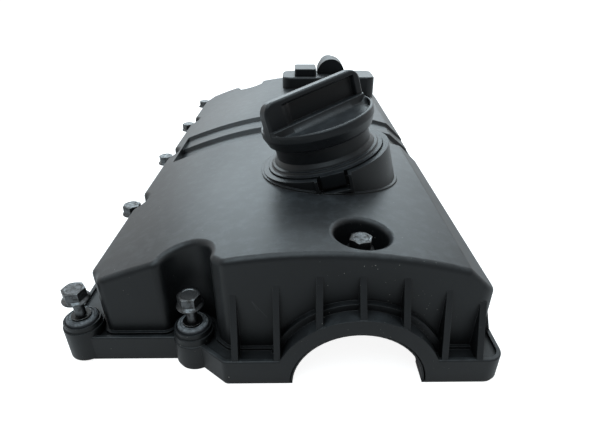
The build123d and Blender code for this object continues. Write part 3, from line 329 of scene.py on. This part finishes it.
class Nodes:
    """A short way to write a material's nodes and links."""

    def __init__(self, name):
        self.material = bpy.data.materials.new(name)
        self.material.use_nodes = True
        self.tree = self.material.node_tree
        self.shader = self.tree.nodes["Principled BSDF"]
        self.place = self.add("ShaderNodeTexCoord").outputs["Object"]
        self.facing = self.add("ShaderNodeTexCoord").outputs["Normal"]

    def add(self, kind, **settings):
        """A new node of that kind with its settings."""
        node = self.tree.nodes.new(kind)
        for key, value in settings.items():
            setattr(node, key, value)
        return node

    def join(self, source, target):
        """A link from one socket to another."""
        self.tree.links.new(source, target)

    def fill(self, socket, value):
        """Links a socket to value, or sets it where value is no socket."""
        if isinstance(value, bpy.types.NodeSocket):
            self.join(value, socket)
        else:
            socket.default_value = value

    def noise(self, scale, detail=3.0, roughness=0.5, vector=None):
        """Cloudy noise with that many lumps per metre."""
        node = self.add("ShaderNodeTexNoise")
        self.join(vector or self.place, node.inputs["Vector"])
        node.inputs["Scale"].default_value = scale
        node.inputs["Detail"].default_value = detail
        node.inputs["Roughness"].default_value = roughness
        return node.outputs["Fac"]

    def stretched(self, scale_xyz, turn=(0.0, 0.0, 0.0), move=(0.0, 0.0, 0.0)):
        """The object's coordinates moved, turned and stretched."""
        node = self.add("ShaderNodeMapping", vector_type="POINT")
        self.join(self.place, node.inputs["Vector"])
        node.inputs["Location"].default_value = move
        node.inputs["Rotation"].default_value = turn
        node.inputs["Scale"].default_value = scale_xyz
        return node.outputs["Vector"]

    def ramp(self, value, low, high, out_low=0.0, out_high=1.0):
        """value from low to high becomes out_low to out_high, smoothly and with ends that hold."""
        node = self.add("ShaderNodeMapRange", interpolation_type="SMOOTHSTEP", clamp=True)
        self.fill(node.inputs["Value"], value)
        node.inputs["From Min"].default_value = low
        node.inputs["From Max"].default_value = high
        node.inputs["To Min"].default_value = out_low
        node.inputs["To Max"].default_value = out_high
        return node.outputs["Result"]

    def math(self, kind, first, second=0.0):
        """A sum, product or greater of two numbers."""
        node = self.add("ShaderNodeMath", operation=kind)
        self.fill(node.inputs[0], first)
        self.fill(node.inputs[1], second)
        return node.outputs[0]

    def mix(self, factor, first, second):
        """A colour between first and second."""
        node = self.add("ShaderNodeMix", data_type="RGBA", clamp_factor=True)
        self.fill(node.inputs["Factor"], factor)
        self.fill(node.inputs["A"], as_colour(first))
        self.fill(node.inputs["B"], as_colour(second))
        return node.outputs["Result"]

    def blend(self, factor, first, second):
        """A number between first and second."""
        node = self.add("ShaderNodeMix", data_type="FLOAT", clamp_factor=True)
        self.fill(node.inputs["Factor"], factor)
        self.fill(node.inputs["A"], first)
        self.fill(node.inputs["B"], second)
        return node.outputs["Result"]

    def part_of(self, vector, axis):
        """One coordinate of a vector."""
        node = self.add("ShaderNodeSeparateXYZ")
        self.join(vector, node.inputs[0])
        return node.outputs[axis]

    def distance_from(self, place):
        """How far a point is from place, in metres."""
        node = self.add("ShaderNodeVectorMath", operation="DISTANCE")
        self.join(self.place, node.inputs[0])
        node.inputs[1].default_value = place
        return node.outputs["Value"]

    def rounded_normal(self, radius):
        """The surface's normal with its sharp edges rounded off."""
        node = self.add("ShaderNodeBevel", samples=6)
        node.inputs["Radius"].default_value = radius
        return node.outputs["Normal"]

    def open_share(self, reach):
        """Nothing deep in a recess and one on an open face: how much of the sky within reach is free."""
        node = self.add("ShaderNodeAmbientOcclusion", samples=6)
        node.inputs["Distance"].default_value = reach
        return self.ramp(node.outputs["AO"], 0.25, 0.90)

    def line_mark(self, start, end, width):
        """One on the straight line from start to end, falling to nothing at width from it."""
        reach = Vector(end) - Vector(start)
        from_start = self.add("ShaderNodeVectorMath", operation="SUBTRACT")
        self.join(self.place, from_start.inputs[0])
        from_start.inputs[1].default_value = start
        along = self.add("ShaderNodeVectorMath", operation="DOT_PRODUCT")
        self.join(from_start.outputs["Vector"], along.inputs[0])
        along.inputs[1].default_value = reach / reach.length_squared
        clamped = self.add("ShaderNodeClamp")
        self.join(along.outputs["Value"], clamped.inputs["Value"])
        foot = self.add("ShaderNodeVectorMath", operation="SCALE")
        foot.inputs[0].default_value = reach
        self.join(clamped.outputs["Result"], foot.inputs["Scale"])
        apart = self.add("ShaderNodeVectorMath", operation="DISTANCE")
        self.join(from_start.outputs["Vector"], apart.inputs[0])
        self.join(foot.outputs["Vector"], apart.inputs[1])
        return self.ramp(apart.outputs["Value"], width, width * 0.3)

    def edge(self, rounded):
        """Nothing on flat faces and up to one on edges, where the rounded normal leaves the true one."""
        true_normal = self.add("ShaderNodeNewGeometry").outputs["Normal"]
        node = self.add("ShaderNodeVectorMath", operation="DOT_PRODUCT")
        self.join(rounded, node.inputs[0])
        self.join(true_normal, node.inputs[1])
        return self.ramp(node.outputs["Value"], 0.995, 0.80)

    def bump(self, height, distance, strength, normal):
        """normal, disturbed by the slope of height."""
        node = self.add("ShaderNodeBump")
        self.join(height, node.inputs["Height"])
        node.inputs["Distance"].default_value = distance
        node.inputs["Strength"].default_value = strength
        self.join(normal, node.inputs["Normal"])
        return node.outputs["Normal"]

    def finish(self, **inputs):
        """Fills the shader's sockets, by name with spaces written as underscores."""
        for key, value in inputs.items():
            self.fill(self.shader.inputs[key.replace("_", " ")], value)
        return self.material


def as_colour(value):
    """A colour with its fourth number, or the socket itself."""
    return value if isinstance(value, bpy.types.NodeSocket) else (value[0], value[1], value[2], 1.0)


def moulded_plastic(name, base, roughness, specular, dirt, finish, scuffs=(), scratches=()):
    """Satin black moulding: fine grain, cloudy gloss, a pale dusting on faces that look up that is also a
    painted sheen, rubbed edges, and recesses painted darker as painted shade.

    dirt is the strength of the pale specks. Each scuff is (place, radius, strength): a patch of fine crossed
    scratches. Each scratch is a single line (start, end, width, strength).
    """
    n = Nodes(name)
    rounded = n.rounded_normal(finish.edge_round)
    clouds = n.noise(22.0, 4.0, 0.6)
    flow = n.noise(9.0, 2.0, 0.5, n.stretched((1.0, 0.35, 1.0)))
    up = n.part_of(n.facing, "Z")
    grains = n.ramp(n.noise(140.0, 5.0, 0.7), 0.42, 0.75, 0.10, 0.42)
    # Painted sheen: faces that look up are lightened towards the pale colour, partly a real dusting, partly
    # the sheen that light gives them.
    dust_and_sheen = n.math("MULTIPLY", n.ramp(up, 0.35, 1.0), grains)
    tone = n.mix(n.ramp(clouds, 0.3, 0.7), base, tuple(1.35 * c for c in base))
    open_share = n.open_share(14.0 * MM)
    dust_and_sheen = n.math("MULTIPLY", dust_and_sheen, open_share)
    # Painted shade: where little sky is free the colour falls to a quarter of the base, darkening recesses,
    # creases and spots under other parts.
    tone = n.mix(open_share, tuple(0.25 * c for c in base), tone)
    tone = n.mix(dust_and_sheen, tone, finish.dust_and_sheen_colour[:])
    wear = n.math("MULTIPLY", n.edge(rounded), n.ramp(n.noise(90.0, 3.0, 0.6), 0.35, 0.65, 0.15, 0.75))
    tone = n.mix(wear, tone, finish.worn_colour[:])
    gloss = n.blend(n.ramp(flow, 0.3, 0.7), roughness - 0.05, roughness + 0.07)
    for place, radius, strength in scuffs:
        lines = n.noise(60.0, 6.0, 0.75, n.stretched((3.0, 30.0, 3.0), (0.0, 0.0, radians(24.0))))
        crossed = n.noise(60.0, 6.0, 0.75, n.stretched((26.0, 3.0, 3.0), (0.0, 0.0, radians(-31.0))))
        marks = n.math("MAXIMUM", n.ramp(lines, 0.58, 0.70), n.ramp(crossed, 0.60, 0.72))
        patch = n.ramp(n.distance_from(place), radius, radius * 0.3)
        patch = n.math("MULTIPLY", patch, marks)
        tone = n.mix(n.math("MULTIPLY", patch, strength), tone, finish.dust_and_sheen_colour[:])
        gloss = n.blend(patch, gloss, roughness + 0.18)
    for start, end, width, strength in scratches:
        broken = n.ramp(n.noise(400.0, 2.0, 0.6), 0.30, 0.50, 0.3, 1.0)
        line = n.math("MULTIPLY", n.line_mark(start, end, width), broken)
        tone = n.mix(n.math("MULTIPLY", line, strength), tone, finish.worn_colour[:])
    specks = n.ramp(n.noise(950.0, 1.0, 0.4), 0.770, 0.790)
    specks = n.math("MULTIPLY", specks, n.ramp(n.noise(30.0, 2.0, 0.5), 0.48, 0.66))
    tone = n.mix(n.math("MULTIPLY", specks, dirt), tone, finish.speck_colour[:])
    grain = n.noise(2600.0, 2.0, 0.6)
    normal = n.bump(grain, 0.00004, 0.22, rounded)
    return n.finish(
        Base_Color=tone, Roughness=gloss, Normal=normal, IOR=1.5, Specular_IOR_Level=specular,
    )


def plated_steel(name, finish, base, stains):
    """Dull plating with dark stains, fine lathe lines and bright worn edges."""
    n = Nodes(name)
    rounded = n.rounded_normal(0.25 * MM)
    blotches = n.ramp(n.noise(420.0, 6.0, 0.7), 0.40, 0.66)
    tone = n.mix(n.math("MULTIPLY", blotches, stains), base, finish.stain_colour[:])
    specks = n.ramp(n.noise(1500.0, 3.0, 0.7), 0.60, 0.72)
    tone = n.mix(n.math("MULTIPLY", specks, 0.7), tone, finish.stain_colour[:])
    wear = n.math("MULTIPLY", n.edge(rounded), n.ramp(n.noise(700.0, 2.0, 0.5), 0.30, 0.55))
    tone = n.mix(wear, tone, finish.bright_colour[:])
    gloss = n.blend(blotches, finish.roughness - 0.10, finish.roughness + 0.16)
    scratches = n.noise(900.0, 4.0, 0.7, n.stretched((1.0, 9.0, 1.0), (0.0, 0.0, radians(35.0))))
    normal = n.bump(scratches, 0.00003, 0.45, rounded)
    return n.finish(Base_Color=tone, Roughness=gloss, Normal=normal, Metallic=1.0)


def rubber(name, finish, base, bloom_and_sheen):
    """Matt rubber with a chalky powder and a painted sheen on faces that look up, and a fine leathery skin.
    """
    n = Nodes(name)
    up = n.ramp(n.part_of(n.facing, "Z"), 0.2, 0.95)
    powder = n.ramp(n.noise(500.0, 5.0, 0.7), 0.35, 0.70, 0.2, 1.0)
    # Painted sheen: faces that look up are lightened towards the chalky colour, partly real powder, partly
    # the sheen that light gives them.
    chalk_and_sheen = n.math("MULTIPLY", n.math("MULTIPLY", up, powder), bloom_and_sheen)
    tone = n.mix(chalk_and_sheen, base, finish.chalk_and_sheen_colour[:])
    gloss = n.ramp(
        n.noise(160.0, 3.0, 0.5), 0.3, 0.7, finish.roughness - 0.08, finish.roughness + 0.1
    )
    normal = n.bump(n.noise(1800.0, 3.0, 0.6), 0.00005, 0.35, n.rounded_normal(0.3 * MM))
    return n.finish(Base_Color=tone, Roughness=gloss, Normal=normal, Specular_IOR_Level=0.4)


# Operators


class VALVECOVER_OT_mouldings(bpy.types.Operator):
    """Dress the plastic mouldings: cover, neck, lid, outlet and separator floor"""

    bl_idname = "valve_cover.mouldings"
    bl_label = "Mouldings"

    def execute(self, context):
        finish = context.scene.valve_cover_plastic
        crown_scuff = ((27.0 * MM, -141.0 * MM, 68.0 * MM), 24.0 * MM, 0.9)
        wall = -183.5 * MM
        scratch_top = (-10.5 * MM, wall, 42.6 * MM)
        wall_scratch = (scratch_top, (-4.1 * MM, wall, 33.5 * MM), 0.28 * MM, 0.35)
        side_scratch = (scratch_top, (-8.3 * MM, wall, 37.4 * MM), 0.45 * MM, 0.25)
        cover = moulded_plastic(
            "cover plastic", finish.cover_colour[:], finish.cover_roughness, finish.cover_specular, 0.8,
            finish, (crown_scuff,), (wall_scratch, side_scratch),
        )
        neck = moulded_plastic(
            "neck plastic", finish.neck_colour[:], finish.cap_roughness + 0.02, finish.cap_specular, 0.3,
            finish,
        )
        paint(cover, "cover_shell", "baffle_plate")
        paint(neck, "filler_neck", "breather_lid", "hose_outlet")
        return {"FINISHED"}


class VALVECOVER_OT_filler_cap(bpy.types.Operator):
    """Dress the winged filler cap"""

    bl_idname = "valve_cover.filler_cap"
    bl_label = "Filler cap"

    def execute(self, context):
        finish = context.scene.valve_cover_plastic
        s = context.scene.valve_cover_cap
        material = moulded_plastic(
            "cap plastic", finish.cap_colour[:], finish.cap_roughness, finish.cap_specular, 0.2, finish
        )
        rings = np.concatenate([self.wing(s), self.deck(s), self.skirt(s), self.inside(s)])
        turned = Matrix.Rotation(-s.lean, 3, "Y") @ Matrix.Rotation(s.turn, 3, "Z")
        made = grid_object("winged_cap", rings @ np.array(turned).T + np.array(s.foot))
        smooth(made, 38.0)
        dress(made, "filler_cap", material)
        return {"FINISHED"}

    def around(self, s):
        """The angles of a ring's points, the long sides and the ends of the wing in turn."""
        corner = np.arcsin(s.wing_half / s.radius)
        side = np.linspace(corner, pi - corner, 240, endpoint=False)
        end = np.linspace(-corner, corner, 14, endpoint=False)
        return np.concatenate([end, side, end + pi, side + pi])

    def wing_ring(self, s, height):
        """A ring of the wing: along each face the half width, less the pocket, and at each end the cylinder.

        The reach is the cylinder's radius, and above the shoulder's middle it follows the shoulder's circle.
        The pocket is the product of soft steps along the wing and up it, long and soft at the left end.
        """
        angle = self.around(s)
        corner = np.arcsin(s.wing_half / s.radius)
        above = max(height - (s.wing_top - s.shoulder), 0.0)
        reach = s.radius - s.shoulder + np.sqrt(max(s.shoulder**2 - above**2, 0.0))
        along = reach * np.cos(angle) / np.cos(corner)
        along = np.clip(along, -reach, reach)
        side = np.where(np.sin(angle) > 0, 1.0, -1.0)
        half = s.wing_half - s.wing_taper * (height - s.wing_foot) / (s.wing_top - s.wing_foot)
        from_left = -side * along
        pocket = soft_step(from_left, *POCKET_LEFT) * soft_step(from_left, *POCKET_RIGHT)
        pocket = pocket * soft_step(height, *POCKET_TOP)
        into_top = max(s.wing_round - (s.wing_top - height), 0.0)
        into_end = np.maximum(np.abs(along) - (reach - s.wing_round), 0.0)
        into = np.minimum(np.hypot(into_top, into_end), s.wing_round)
        rounding = s.wing_round - np.sqrt(s.wing_round**2 - into**2)
        width = half - s.pocket_depth * pocket - rounding
        is_end = np.abs(np.sin(angle)) < np.sin(corner) * 0.9999
        end_width = (half - s.wing_round) * np.sin(angle) / np.sin(corner)
        across = np.where(is_end, end_width, side * width)
        ends = np.sign(np.cos(angle)) * np.sqrt(np.maximum(reach**2 - across**2, 0.0))
        along = np.where(is_end, ends, along)
        return np.stack([along, across, np.full(angle.shape, height)], axis=-1)

    def wing(self, s):
        """Rings of the wing from its top down to its foot."""
        rounded = s.wing_top - s.wing_round * (1 - np.cos(np.linspace(0.0, pi / 2, 8)))
        upper = np.linspace(s.wing_top - s.wing_round, POCKET_FULL, 12)[1:]
        lower = np.linspace(POCKET_FULL, s.wing_foot, 9)[1:]
        return np.stack([self.wing_ring(s, height) for height in [*rounded, *upper, *lower]])

    def deck(self, s):
        """Rings from the wing's foot over the ledge, through the trough and over the rim.

        Along each face every point keeps its place along the wing and moves out to the circle. Of the width
        between foot and circle the ledge and the rim take their own widths, or a share where it is narrow.
        From the ledge the apron falls to the trough's floor by a power of what is left of the way.
        """
        foot = self.wing_ring(s, s.wing_foot)
        along, across = foot[:, 0], foot[:, 1]
        side = np.sign(across)
        start = np.abs(across)
        circle = np.sqrt(np.maximum(s.radius**2 - along**2, start**2))
        room = circle - start
        ledge = np.minimum(s.ledge + np.maximum(s.wing_half - start, 0.0), EDGE_SHARE * room)
        rim = np.minimum(s.rim_width, EDGE_SHARE * room)
        inner = circle - rim
        gap = inner - start - ledge
        depth = s.trough * soft_step(gap, 0.0, TROUGH_GAP)
        bead = np.minimum(0.5 * ledge, LEDGE_BEAD)
        lip = np.minimum(s.rim_round, 0.45 * rim)
        quarter = np.linspace(0.0, pi / 2, 6)
        rows = [(start + 0.25 * ledge, s.wing_foot)]
        for angle in quarter:
            out = start + ledge - bead * (1 - np.sin(angle))
            rows.append((out, s.wing_foot - bead * (1 - np.cos(angle))))
        floor = s.rim_top - depth
        drop = s.wing_foot - bead - floor
        for part in np.linspace(0.12, 0.95, 9):
            fall = (1 - part) ** APRON_POWER * APRON_SHARE
            rows.append((start + ledge + gap * part, floor + drop * fall))
        for angle in quarter:
            rows.append((inner + lip * (1 - np.cos(angle)), s.rim_top - lip * (1 - np.sin(angle))))
        for angle in quarter:
            rows.append((circle - lip * (1 - np.sin(angle)), s.rim_top - lip * (1 - np.cos(angle))))
        rings = []
        for out, height in rows:
            rings.append(np.stack([along, side * out, np.broadcast_to(height, along.shape)], axis=-1))
        return np.stack(rings)

    def turned_ring(self, s, radius, height):
        """A circle, or with a function of the angle as radius a ring whose radius changes."""
        edge = self.wing_ring(s, s.wing_foot)
        along = edge[:, 0]
        across = np.sign(edge[:, 1]) * np.sqrt(np.maximum(s.radius**2 - along**2, edge[:, 1] ** 2))
        angle = np.arctan2(across, along)
        radius = radius(angle) if callable(radius) else np.full(angle.shape, radius)
        x, y = radius * np.cos(angle), radius * np.sin(angle)
        return np.stack([x, y, np.full(angle.shape, height)], axis=-1)

    def skirt(self, s):
        """Rings of the skirt down to its rounded foot: a cylinder that narrows at the bottom."""
        taper_top = s.foot_height + s.taper_height
        rows = [(s.radius, height) for height in np.linspace(s.rim_top - 2 * s.rim_round, taper_top, 4)]
        slope = (s.radius - s.foot_radius) / s.taper_height
        for height in (taper_top - 0.4 * MM, s.foot_height + SKIRT_ROUND):
            rows.append((s.radius - slope * (taper_top - height), height))
        for angle in np.linspace(0.2, pi / 2, 5):
            radius = s.foot_radius - SKIRT_ROUND * (1 - np.cos(angle))
            rows.append((radius, s.foot_height + SKIRT_ROUND * (1 - np.sin(angle))))
        return np.stack([self.turned_ring(s, *row) for row in rows])

    def inside(self, s):
        """Rings of the hollow skirt, the plug with its two lugs, and the plug's bore."""

        def lugged(angle):
            from_end = np.abs(np.arctan2(np.sin(2 * angle), np.cos(2 * angle))) / 2
            return np.where(from_end < s.lug_half_angle, s.lug_radius, s.plug_radius)

        low = -1.0 * MM
        rows = [
            (s.bore, s.foot_height),
            (s.bore, s.ceiling),
            (s.plug_radius, s.ceiling),
            (s.plug_radius, s.lug_high + 0.01 * MM),
            (lugged, s.lug_high),
            (lugged, s.lug_low),
            (s.plug_radius, s.lug_low - 0.01 * MM),
            (s.plug_radius, low + 0.4 * MM),
            (s.plug_radius - 0.4 * MM, low),
            (s.plug_bore, low),
            (s.plug_bore, s.ceiling),
        ]
        return np.stack([self.turned_ring(s, *row) for row in rows])


class VALVECOVER_OT_rubber(bpy.types.Operator):
    """Dress the gasket and the seals"""

    bl_idname = "valve_cover.rubber"
    bl_label = "Gasket and seals"

    def execute(self, context):
        finish = context.scene.valve_cover_rubber
        gasket = rubber("gasket rubber", finish, finish.gasket_colour[:], 0.20)
        paint(gasket, "cover_gasket", "neck_seal", "cap_seal", "outlet_ring")
        return {"FINISHED"}


class VALVECOVER_OT_grommets(bpy.types.Operator):
    """Turn the rubber grommets that hold the bolts captive"""

    bl_idname = "valve_cover.grommets"
    bl_label = "Grommets"

    def execute(self, context):
        finish = context.scene.valve_cover_rubber
        # At full strength the grommets' tops are lightened as a painted sheen as well as a powder.
        material = rubber("grommet rubber", finish, finish.grommet_colour[:], 1.0)
        for number in range(1, BOLT_COUNT + 1):
            node = f"bolt_grommet_{number}"
            dress(self.turned(node, f"grommet_{number}"), node, material)
        return {"FINISHED"}

    def turned(self, node, name):
        """A bush with a thick disc: its profile of radius and height runs up outside and down the bore."""
        low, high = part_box(node)
        centre = ((low.x + high.x) / 2, (low.y + high.y) / 2, low.z)
        disc = (high.x - low.x) / 2
        top = high.z - low.z
        sleeve_low, sleeve_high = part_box(node.replace("grommet", "sleeve"))
        bore = (sleeve_high.x - sleeve_low.x) / 2 + 0.05 * MM
        bush = disc - 1.45 * MM
        under = top - 3.2 * MM
        profile = np.array([
            (bore, 0.0),
            (bush, 0.0),
            (bush, under),
            (disc - 0.3 * MM, under),
            (disc, under + 0.3 * MM),
            (disc, top - 1.3 * MM),
            (disc - 0.25 * MM, top - 0.9 * MM),
            (disc - 0.8 * MM, top - 0.25 * MM),
            (disc - 1.4 * MM, top),
            (bore + 1.5 * MM, top),
            (bore + 1.2 * MM, top - 0.35 * MM),
            (bore, top - 0.45 * MM),
        ])
        around = 64
        radii = np.repeat(profile[:, :1], around, axis=1)
        heights = np.repeat(profile[:, 1:], around, axis=1)
        made = grid_object(name, turned_rings(radii, heights, centre), closed_ends=False)
        smooth(made, 35.0)
        return made


class VALVECOVER_OT_sleeves(bpy.types.Operator):
    """Dress the bolts' steel sleeves"""

    bl_idname = "valve_cover.sleeves"
    bl_label = "Sleeves"

    def execute(self, context):
        finish = context.scene.valve_cover_metal
        material = plated_steel("turned sleeve steel", finish, finish.sleeve_colour[:], 0.45)
        paint(material, *(f"bolt_sleeve_{number}" for number in range(1, BOLT_COUNT + 1)))
        paint(plated_steel("screw steel", finish, finish.plate_colour[:], 0.3), "baffle_screws")
        return {"FINISHED"}


class VALVECOVER_OT_bolts(bpy.types.Operator):
    """Turn the captive flange bolts with their hexagons, waists and threads"""

    bl_idname = "valve_cover.bolts"
    bl_label = "Captive bolts"

    def execute(self, context):
        finish = context.scene.valve_cover_metal
        sizes = context.scene.valve_cover_bolts
        material = plated_steel("zinc plated steel", finish, finish.plate_colour[:], 0.75)
        for number in range(1, BOLT_COUNT + 1):
            node = f"bolt_{number}"
            turn = radians(17.0 + 23.0 * number)
            dress(self.turned(node, f"flange_bolt_{number}", sizes, turn), node, material)
        return {"FINISHED"}

    def turned(self, node, name, s, turn):
        """One bolt as a grid of rings. A ring's radius is a circle's, the thread's or the hexagon's.

        The thread's radius at angle a and height h is its outer radius less its depth times a triangle wave
        of h / pitch - a / 2 pi. The hexagon's radius at angle a is half its width across flats divided by
        the cosine of the angle to the nearest flat, and a cone cuts its corners off at the top.
        """
        low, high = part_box(node)
        centre = ((low.x + high.x) / 2, (low.y + high.y) / 2, low.z)
        flange = (high.x - low.x) / 2
        top = high.z - low.z
        around = 72
        angles = np.linspace(0.0, 2 * pi, around, endpoint=False)
        flat_angle = np.mod(angles + pi / 6, pi / 3) - pi / 6
        hexagon = s.across_flats / 2 / np.cos(flat_angle)

        def ring(radius, height):
            return np.broadcast_to(radius, around), np.broadcast_to(height, around)

        tip_radius = s.thread_radius - s.tip_chamfer
        rows = [ring(tip_radius - 0.3 * MM, 0.0), ring(tip_radius, 0.0)]
        steps = np.arange(s.tip_chamfer, s.thread_length - s.thread_pitch, s.thread_pitch / 6)
        for height in steps:
            wave = np.mod(height / s.thread_pitch - angles / (2 * pi), 1.0)
            groove = s.thread_depth * np.clip(2.4 * np.abs(wave - 0.5) - 0.15, 0.0, 0.95)
            fade = np.clip((height - s.tip_chamfer) / s.tip_chamfer, 0.0, 1.0)
            thin = s.thread_depth * (1 - fade) * 0.6
            rows.append(ring(s.thread_radius - thin - groove * fade, height))
        under = top - s.hex_height - s.flange_thick
        hex_foot = top - s.hex_height
        cone_top = s.across_flats / 2 - s.crown_width
        chamfer = top - (hexagon - cone_top) * s.crown_slope / CONE_REACH
        rows += [
            ring(s.waist_radius, s.thread_length),
            ring(s.waist_radius, under + 0.03 * MM),
            ring(flange - 0.3 * MM, under + 0.03 * MM),
            ring(flange, under + 0.2 * MM),
            ring(flange, under + s.flange_edge - 0.15 * MM),
            ring(flange - 0.15 * MM, under + s.flange_edge),
            ring(hexagon + 0.35 * MM, hex_foot - 0.1 * MM),
            ring(hexagon, hex_foot + 0.2 * MM),
            ring(hexagon, chamfer - 0.12 * MM),
            ring(hexagon - 0.04 * MM, chamfer),
            ring(cone_top + 0.05 * MM, top - 0.03 * MM),
            ring(cone_top - 0.12 * MM, top),
            ring(s.dish_radius, top),
            ring(s.dish_radius - 0.35 * MM, top - s.dish_depth),
            ring(s.dish_radius / 2, top - s.dish_depth),
        ]
        radii = np.stack([row[0] for row in rows])
        heights = np.stack([row[1] for row in rows])
        rings = turned_rings(radii, heights, (0.0, 0.0, 0.0))
        spin = np.array(Matrix.Rotation(turn, 3, "Z"))
        made = grid_object(name, rings @ spin.T + np.array(centre))
        smooth(made, 34.0)
        return made


class VALVECOVER_OT_stage(bpy.types.Operator):
    """Set the pale floor, the soft lights and the camera"""

    bl_idname = "valve_cover.stage"
    bl_label = "Stage"

    def execute(self, context):
        s = context.scene.valve_cover_stage
        self.floor(s)
        self.sky(context, s)
        self.soft_light(
            "back light", s, place=(0.1, 1.9, 1.15), target=(0.0, 0.0, 0.05), size=(2.8, 1.1),
            power=s.back_power,
        )
        self.soft_light(
            "top light", s, place=(-0.2, -0.35, 1.8), target=(0.0, 0.0, 0.0), size=(1.4, 2.0),
            power=s.top_power,
        )
        self.camera(context, s)
        context.scene.view_settings.view_transform = "Standard"
        return {"FINISHED"}

    def floor(self, s):
        """A flat disc: the point at angle a is radius (cos a, sin a), at height nothing."""
        around = 96
        angles = np.linspace(0.0, 2 * pi, around, endpoint=False)
        rim = np.stack([np.cos(angles), np.sin(angles), np.zeros(around)], axis=-1) * s.floor_radius
        mesh = bpy.data.meshes.new("floor")
        mesh.from_pydata(rim.tolist(), [], [list(range(around))])
        made = bpy.data.objects.new("floor", mesh)
        bpy.context.scene.collection.objects.link(made)
        n = Nodes("pale floor")
        rays = n.add("ShaderNodeLightPath")
        seen = n.math("MAXIMUM", rays.outputs["Is Camera Ray"], rays.outputs["Is Transmission Ray"])
        seen = n.math("MAXIMUM", seen, n.math("MULTIPLY", rays.outputs["Is Glossy Ray"], s.front_shade))
        n.finish(Base_Color=as_colour(s.floor_colour), Roughness=0.9, Specular_IOR_Level=0.1)
        n.shader.inputs["Emission Color"].default_value = (1.0, 1.0, 1.0, 1.0)
        n.join(n.math("MULTIPLY", seen, s.floor_glow), n.shader.inputs["Emission Strength"])
        made.data.materials.append(n.material)

    def sky(self, context, s):
        """White where it is seen, white with a dim front where it is mirrored, and even light elsewhere."""
        world = bpy.data.worlds.new("pale sky")
        context.scene.world = world
        world.use_nodes = True
        tree = world.node_tree
        background = tree.nodes["Background"]
        background.inputs["Color"].default_value = (1.0, 1.0, 1.0, 1.0)

        def add(kind, *inputs, **settings):
            node = tree.nodes.new(kind)
            for key, value in settings.items():
                setattr(node, key, value)
            for socket, value in zip(node.inputs, inputs):
                if isinstance(value, bpy.types.NodeSocket):
                    tree.links.new(value, socket)
                else:
                    socket.default_value = value
            return node

        rays = add("ShaderNodeLightPath").outputs
        direction = add("ShaderNodeSeparateXYZ", add("ShaderNodeTexCoord").outputs["Generated"])
        front_to_back = add("ShaderNodeMapRange", direction.outputs["Y"], -0.7, 0.4, s.front_shade, 1.0)
        mirrored = add(
            "ShaderNodeMath", rays["Is Glossy Ray"], front_to_back.outputs[0], operation="MULTIPLY"
        )
        seen = add("ShaderNodeMath", rays["Is Camera Ray"], rays["Is Transmission Ray"], operation="MAXIMUM")
        shown = add("ShaderNodeMath", mirrored.outputs[0], seen.outputs[0], operation="MAXIMUM")
        hidden = add("ShaderNodeMath", rays["Is Glossy Ray"], seen.outputs[0], operation="MAXIMUM")
        lighting = add("ShaderNodeMath", 1.0, hidden.outputs[0], operation="SUBTRACT")
        even = add("ShaderNodeMath", lighting.outputs[0], s.sky_strength, operation="MULTIPLY")
        total = add("ShaderNodeMath", shown.outputs[0], even.outputs[0], operation="ADD")
        tree.links.new(total.outputs[0], background.inputs["Strength"])

    def soft_light(self, name, s, place, target, size, power):
        """A wide soft box at place that faces target."""
        lamp = bpy.data.lights.new(name, "AREA")
        lamp.shape = "RECTANGLE"
        lamp.size, lamp.size_y = size
        lamp.energy = power
        lamp.color = s.light_colour
        made = bpy.data.objects.new(name, lamp)
        made.location = place
        made.rotation_euler = (Vector(target) - Vector(place)).to_track_quat("-Z", "Y").to_euler()
        made.visible_camera = False
        bpy.context.scene.collection.objects.link(made)

    def camera(self, context, s):
        """The camera that took the picture, as the outline of the cover gave it."""
        data = bpy.data.cameras.new("camera")
        data.sensor_width = 36.0
        data.lens = s.camera_focal_px / s.picture_width_px * data.sensor_width
        data.clip_start = 0.01
        made = bpy.data.objects.new("camera", data)
        made.location = s.camera_place
        made.rotation_euler = (pi / 2 - s.camera_pitch, 0.0, -s.camera_yaw)
        context.scene.collection.objects.link(made)
        context.scene.camera = made


class VALVECOVER_PT_panel(bpy.types.Panel):
    """Lists the steps that dress the valve cover"""

    bl_idname = "VALVECOVER_PT_panel"
    bl_label = "Valve Cover"
    bl_space_type = "VIEW_3D"
    bl_region_type = "UI"
    bl_category = "Valve Cover"

    def draw(self, context):
        for operator in OPERATORS:
            self.layout.operator(operator.bl_idname)
        for group in GROUPS:
            box = self.layout.box()
            for key in group.__annotations__:
                box.prop(getattr(context.scene, GROUPS[group]), key)


GROUPS = {
    PlasticFinish: "valve_cover_plastic",
    MetalFinish: "valve_cover_metal",
    RubberFinish: "valve_cover_rubber",
    BoltSizes: "valve_cover_bolts",
    CapSizes: "valve_cover_cap",
    StageSettings: "valve_cover_stage",
}
OPERATORS = (
    VALVECOVER_OT_stage,
    VALVECOVER_OT_mouldings,
    VALVECOVER_OT_filler_cap,
    VALVECOVER_OT_rubber,
    VALVECOVER_OT_grommets,
    VALVECOVER_OT_sleeves,
    VALVECOVER_OT_bolts,
)


def register():
    for group, name in GROUPS.items():
        bpy.utils.register_class(group)
        setattr(bpy.types.Scene, name, PointerProperty(type=group))
    for operator in OPERATORS:
        bpy.utils.register_class(operator)
    bpy.utils.register_class(VALVECOVER_PT_panel)


def unregister():
    bpy.utils.unregister_class(VALVECOVER_PT_panel)
    for operator in reversed(OPERATORS):
        bpy.utils.unregister_class(operator)
    for group, name in GROUPS.items():
        delattr(bpy.types.Scene, name)
        bpy.utils.unregister_class(group)


def main():
    register()
    bpy.ops.valve_cover.stage()
    bpy.ops.valve_cover.mouldings()
    bpy.ops.valve_cover.filler_cap()
    bpy.ops.valve_cover.rubber()
    bpy.ops.valve_cover.grommets()
    bpy.ops.valve_cover.sleeves()
    bpy.ops.valve_cover.bolts()


if __name__ == "__main__":
    main()
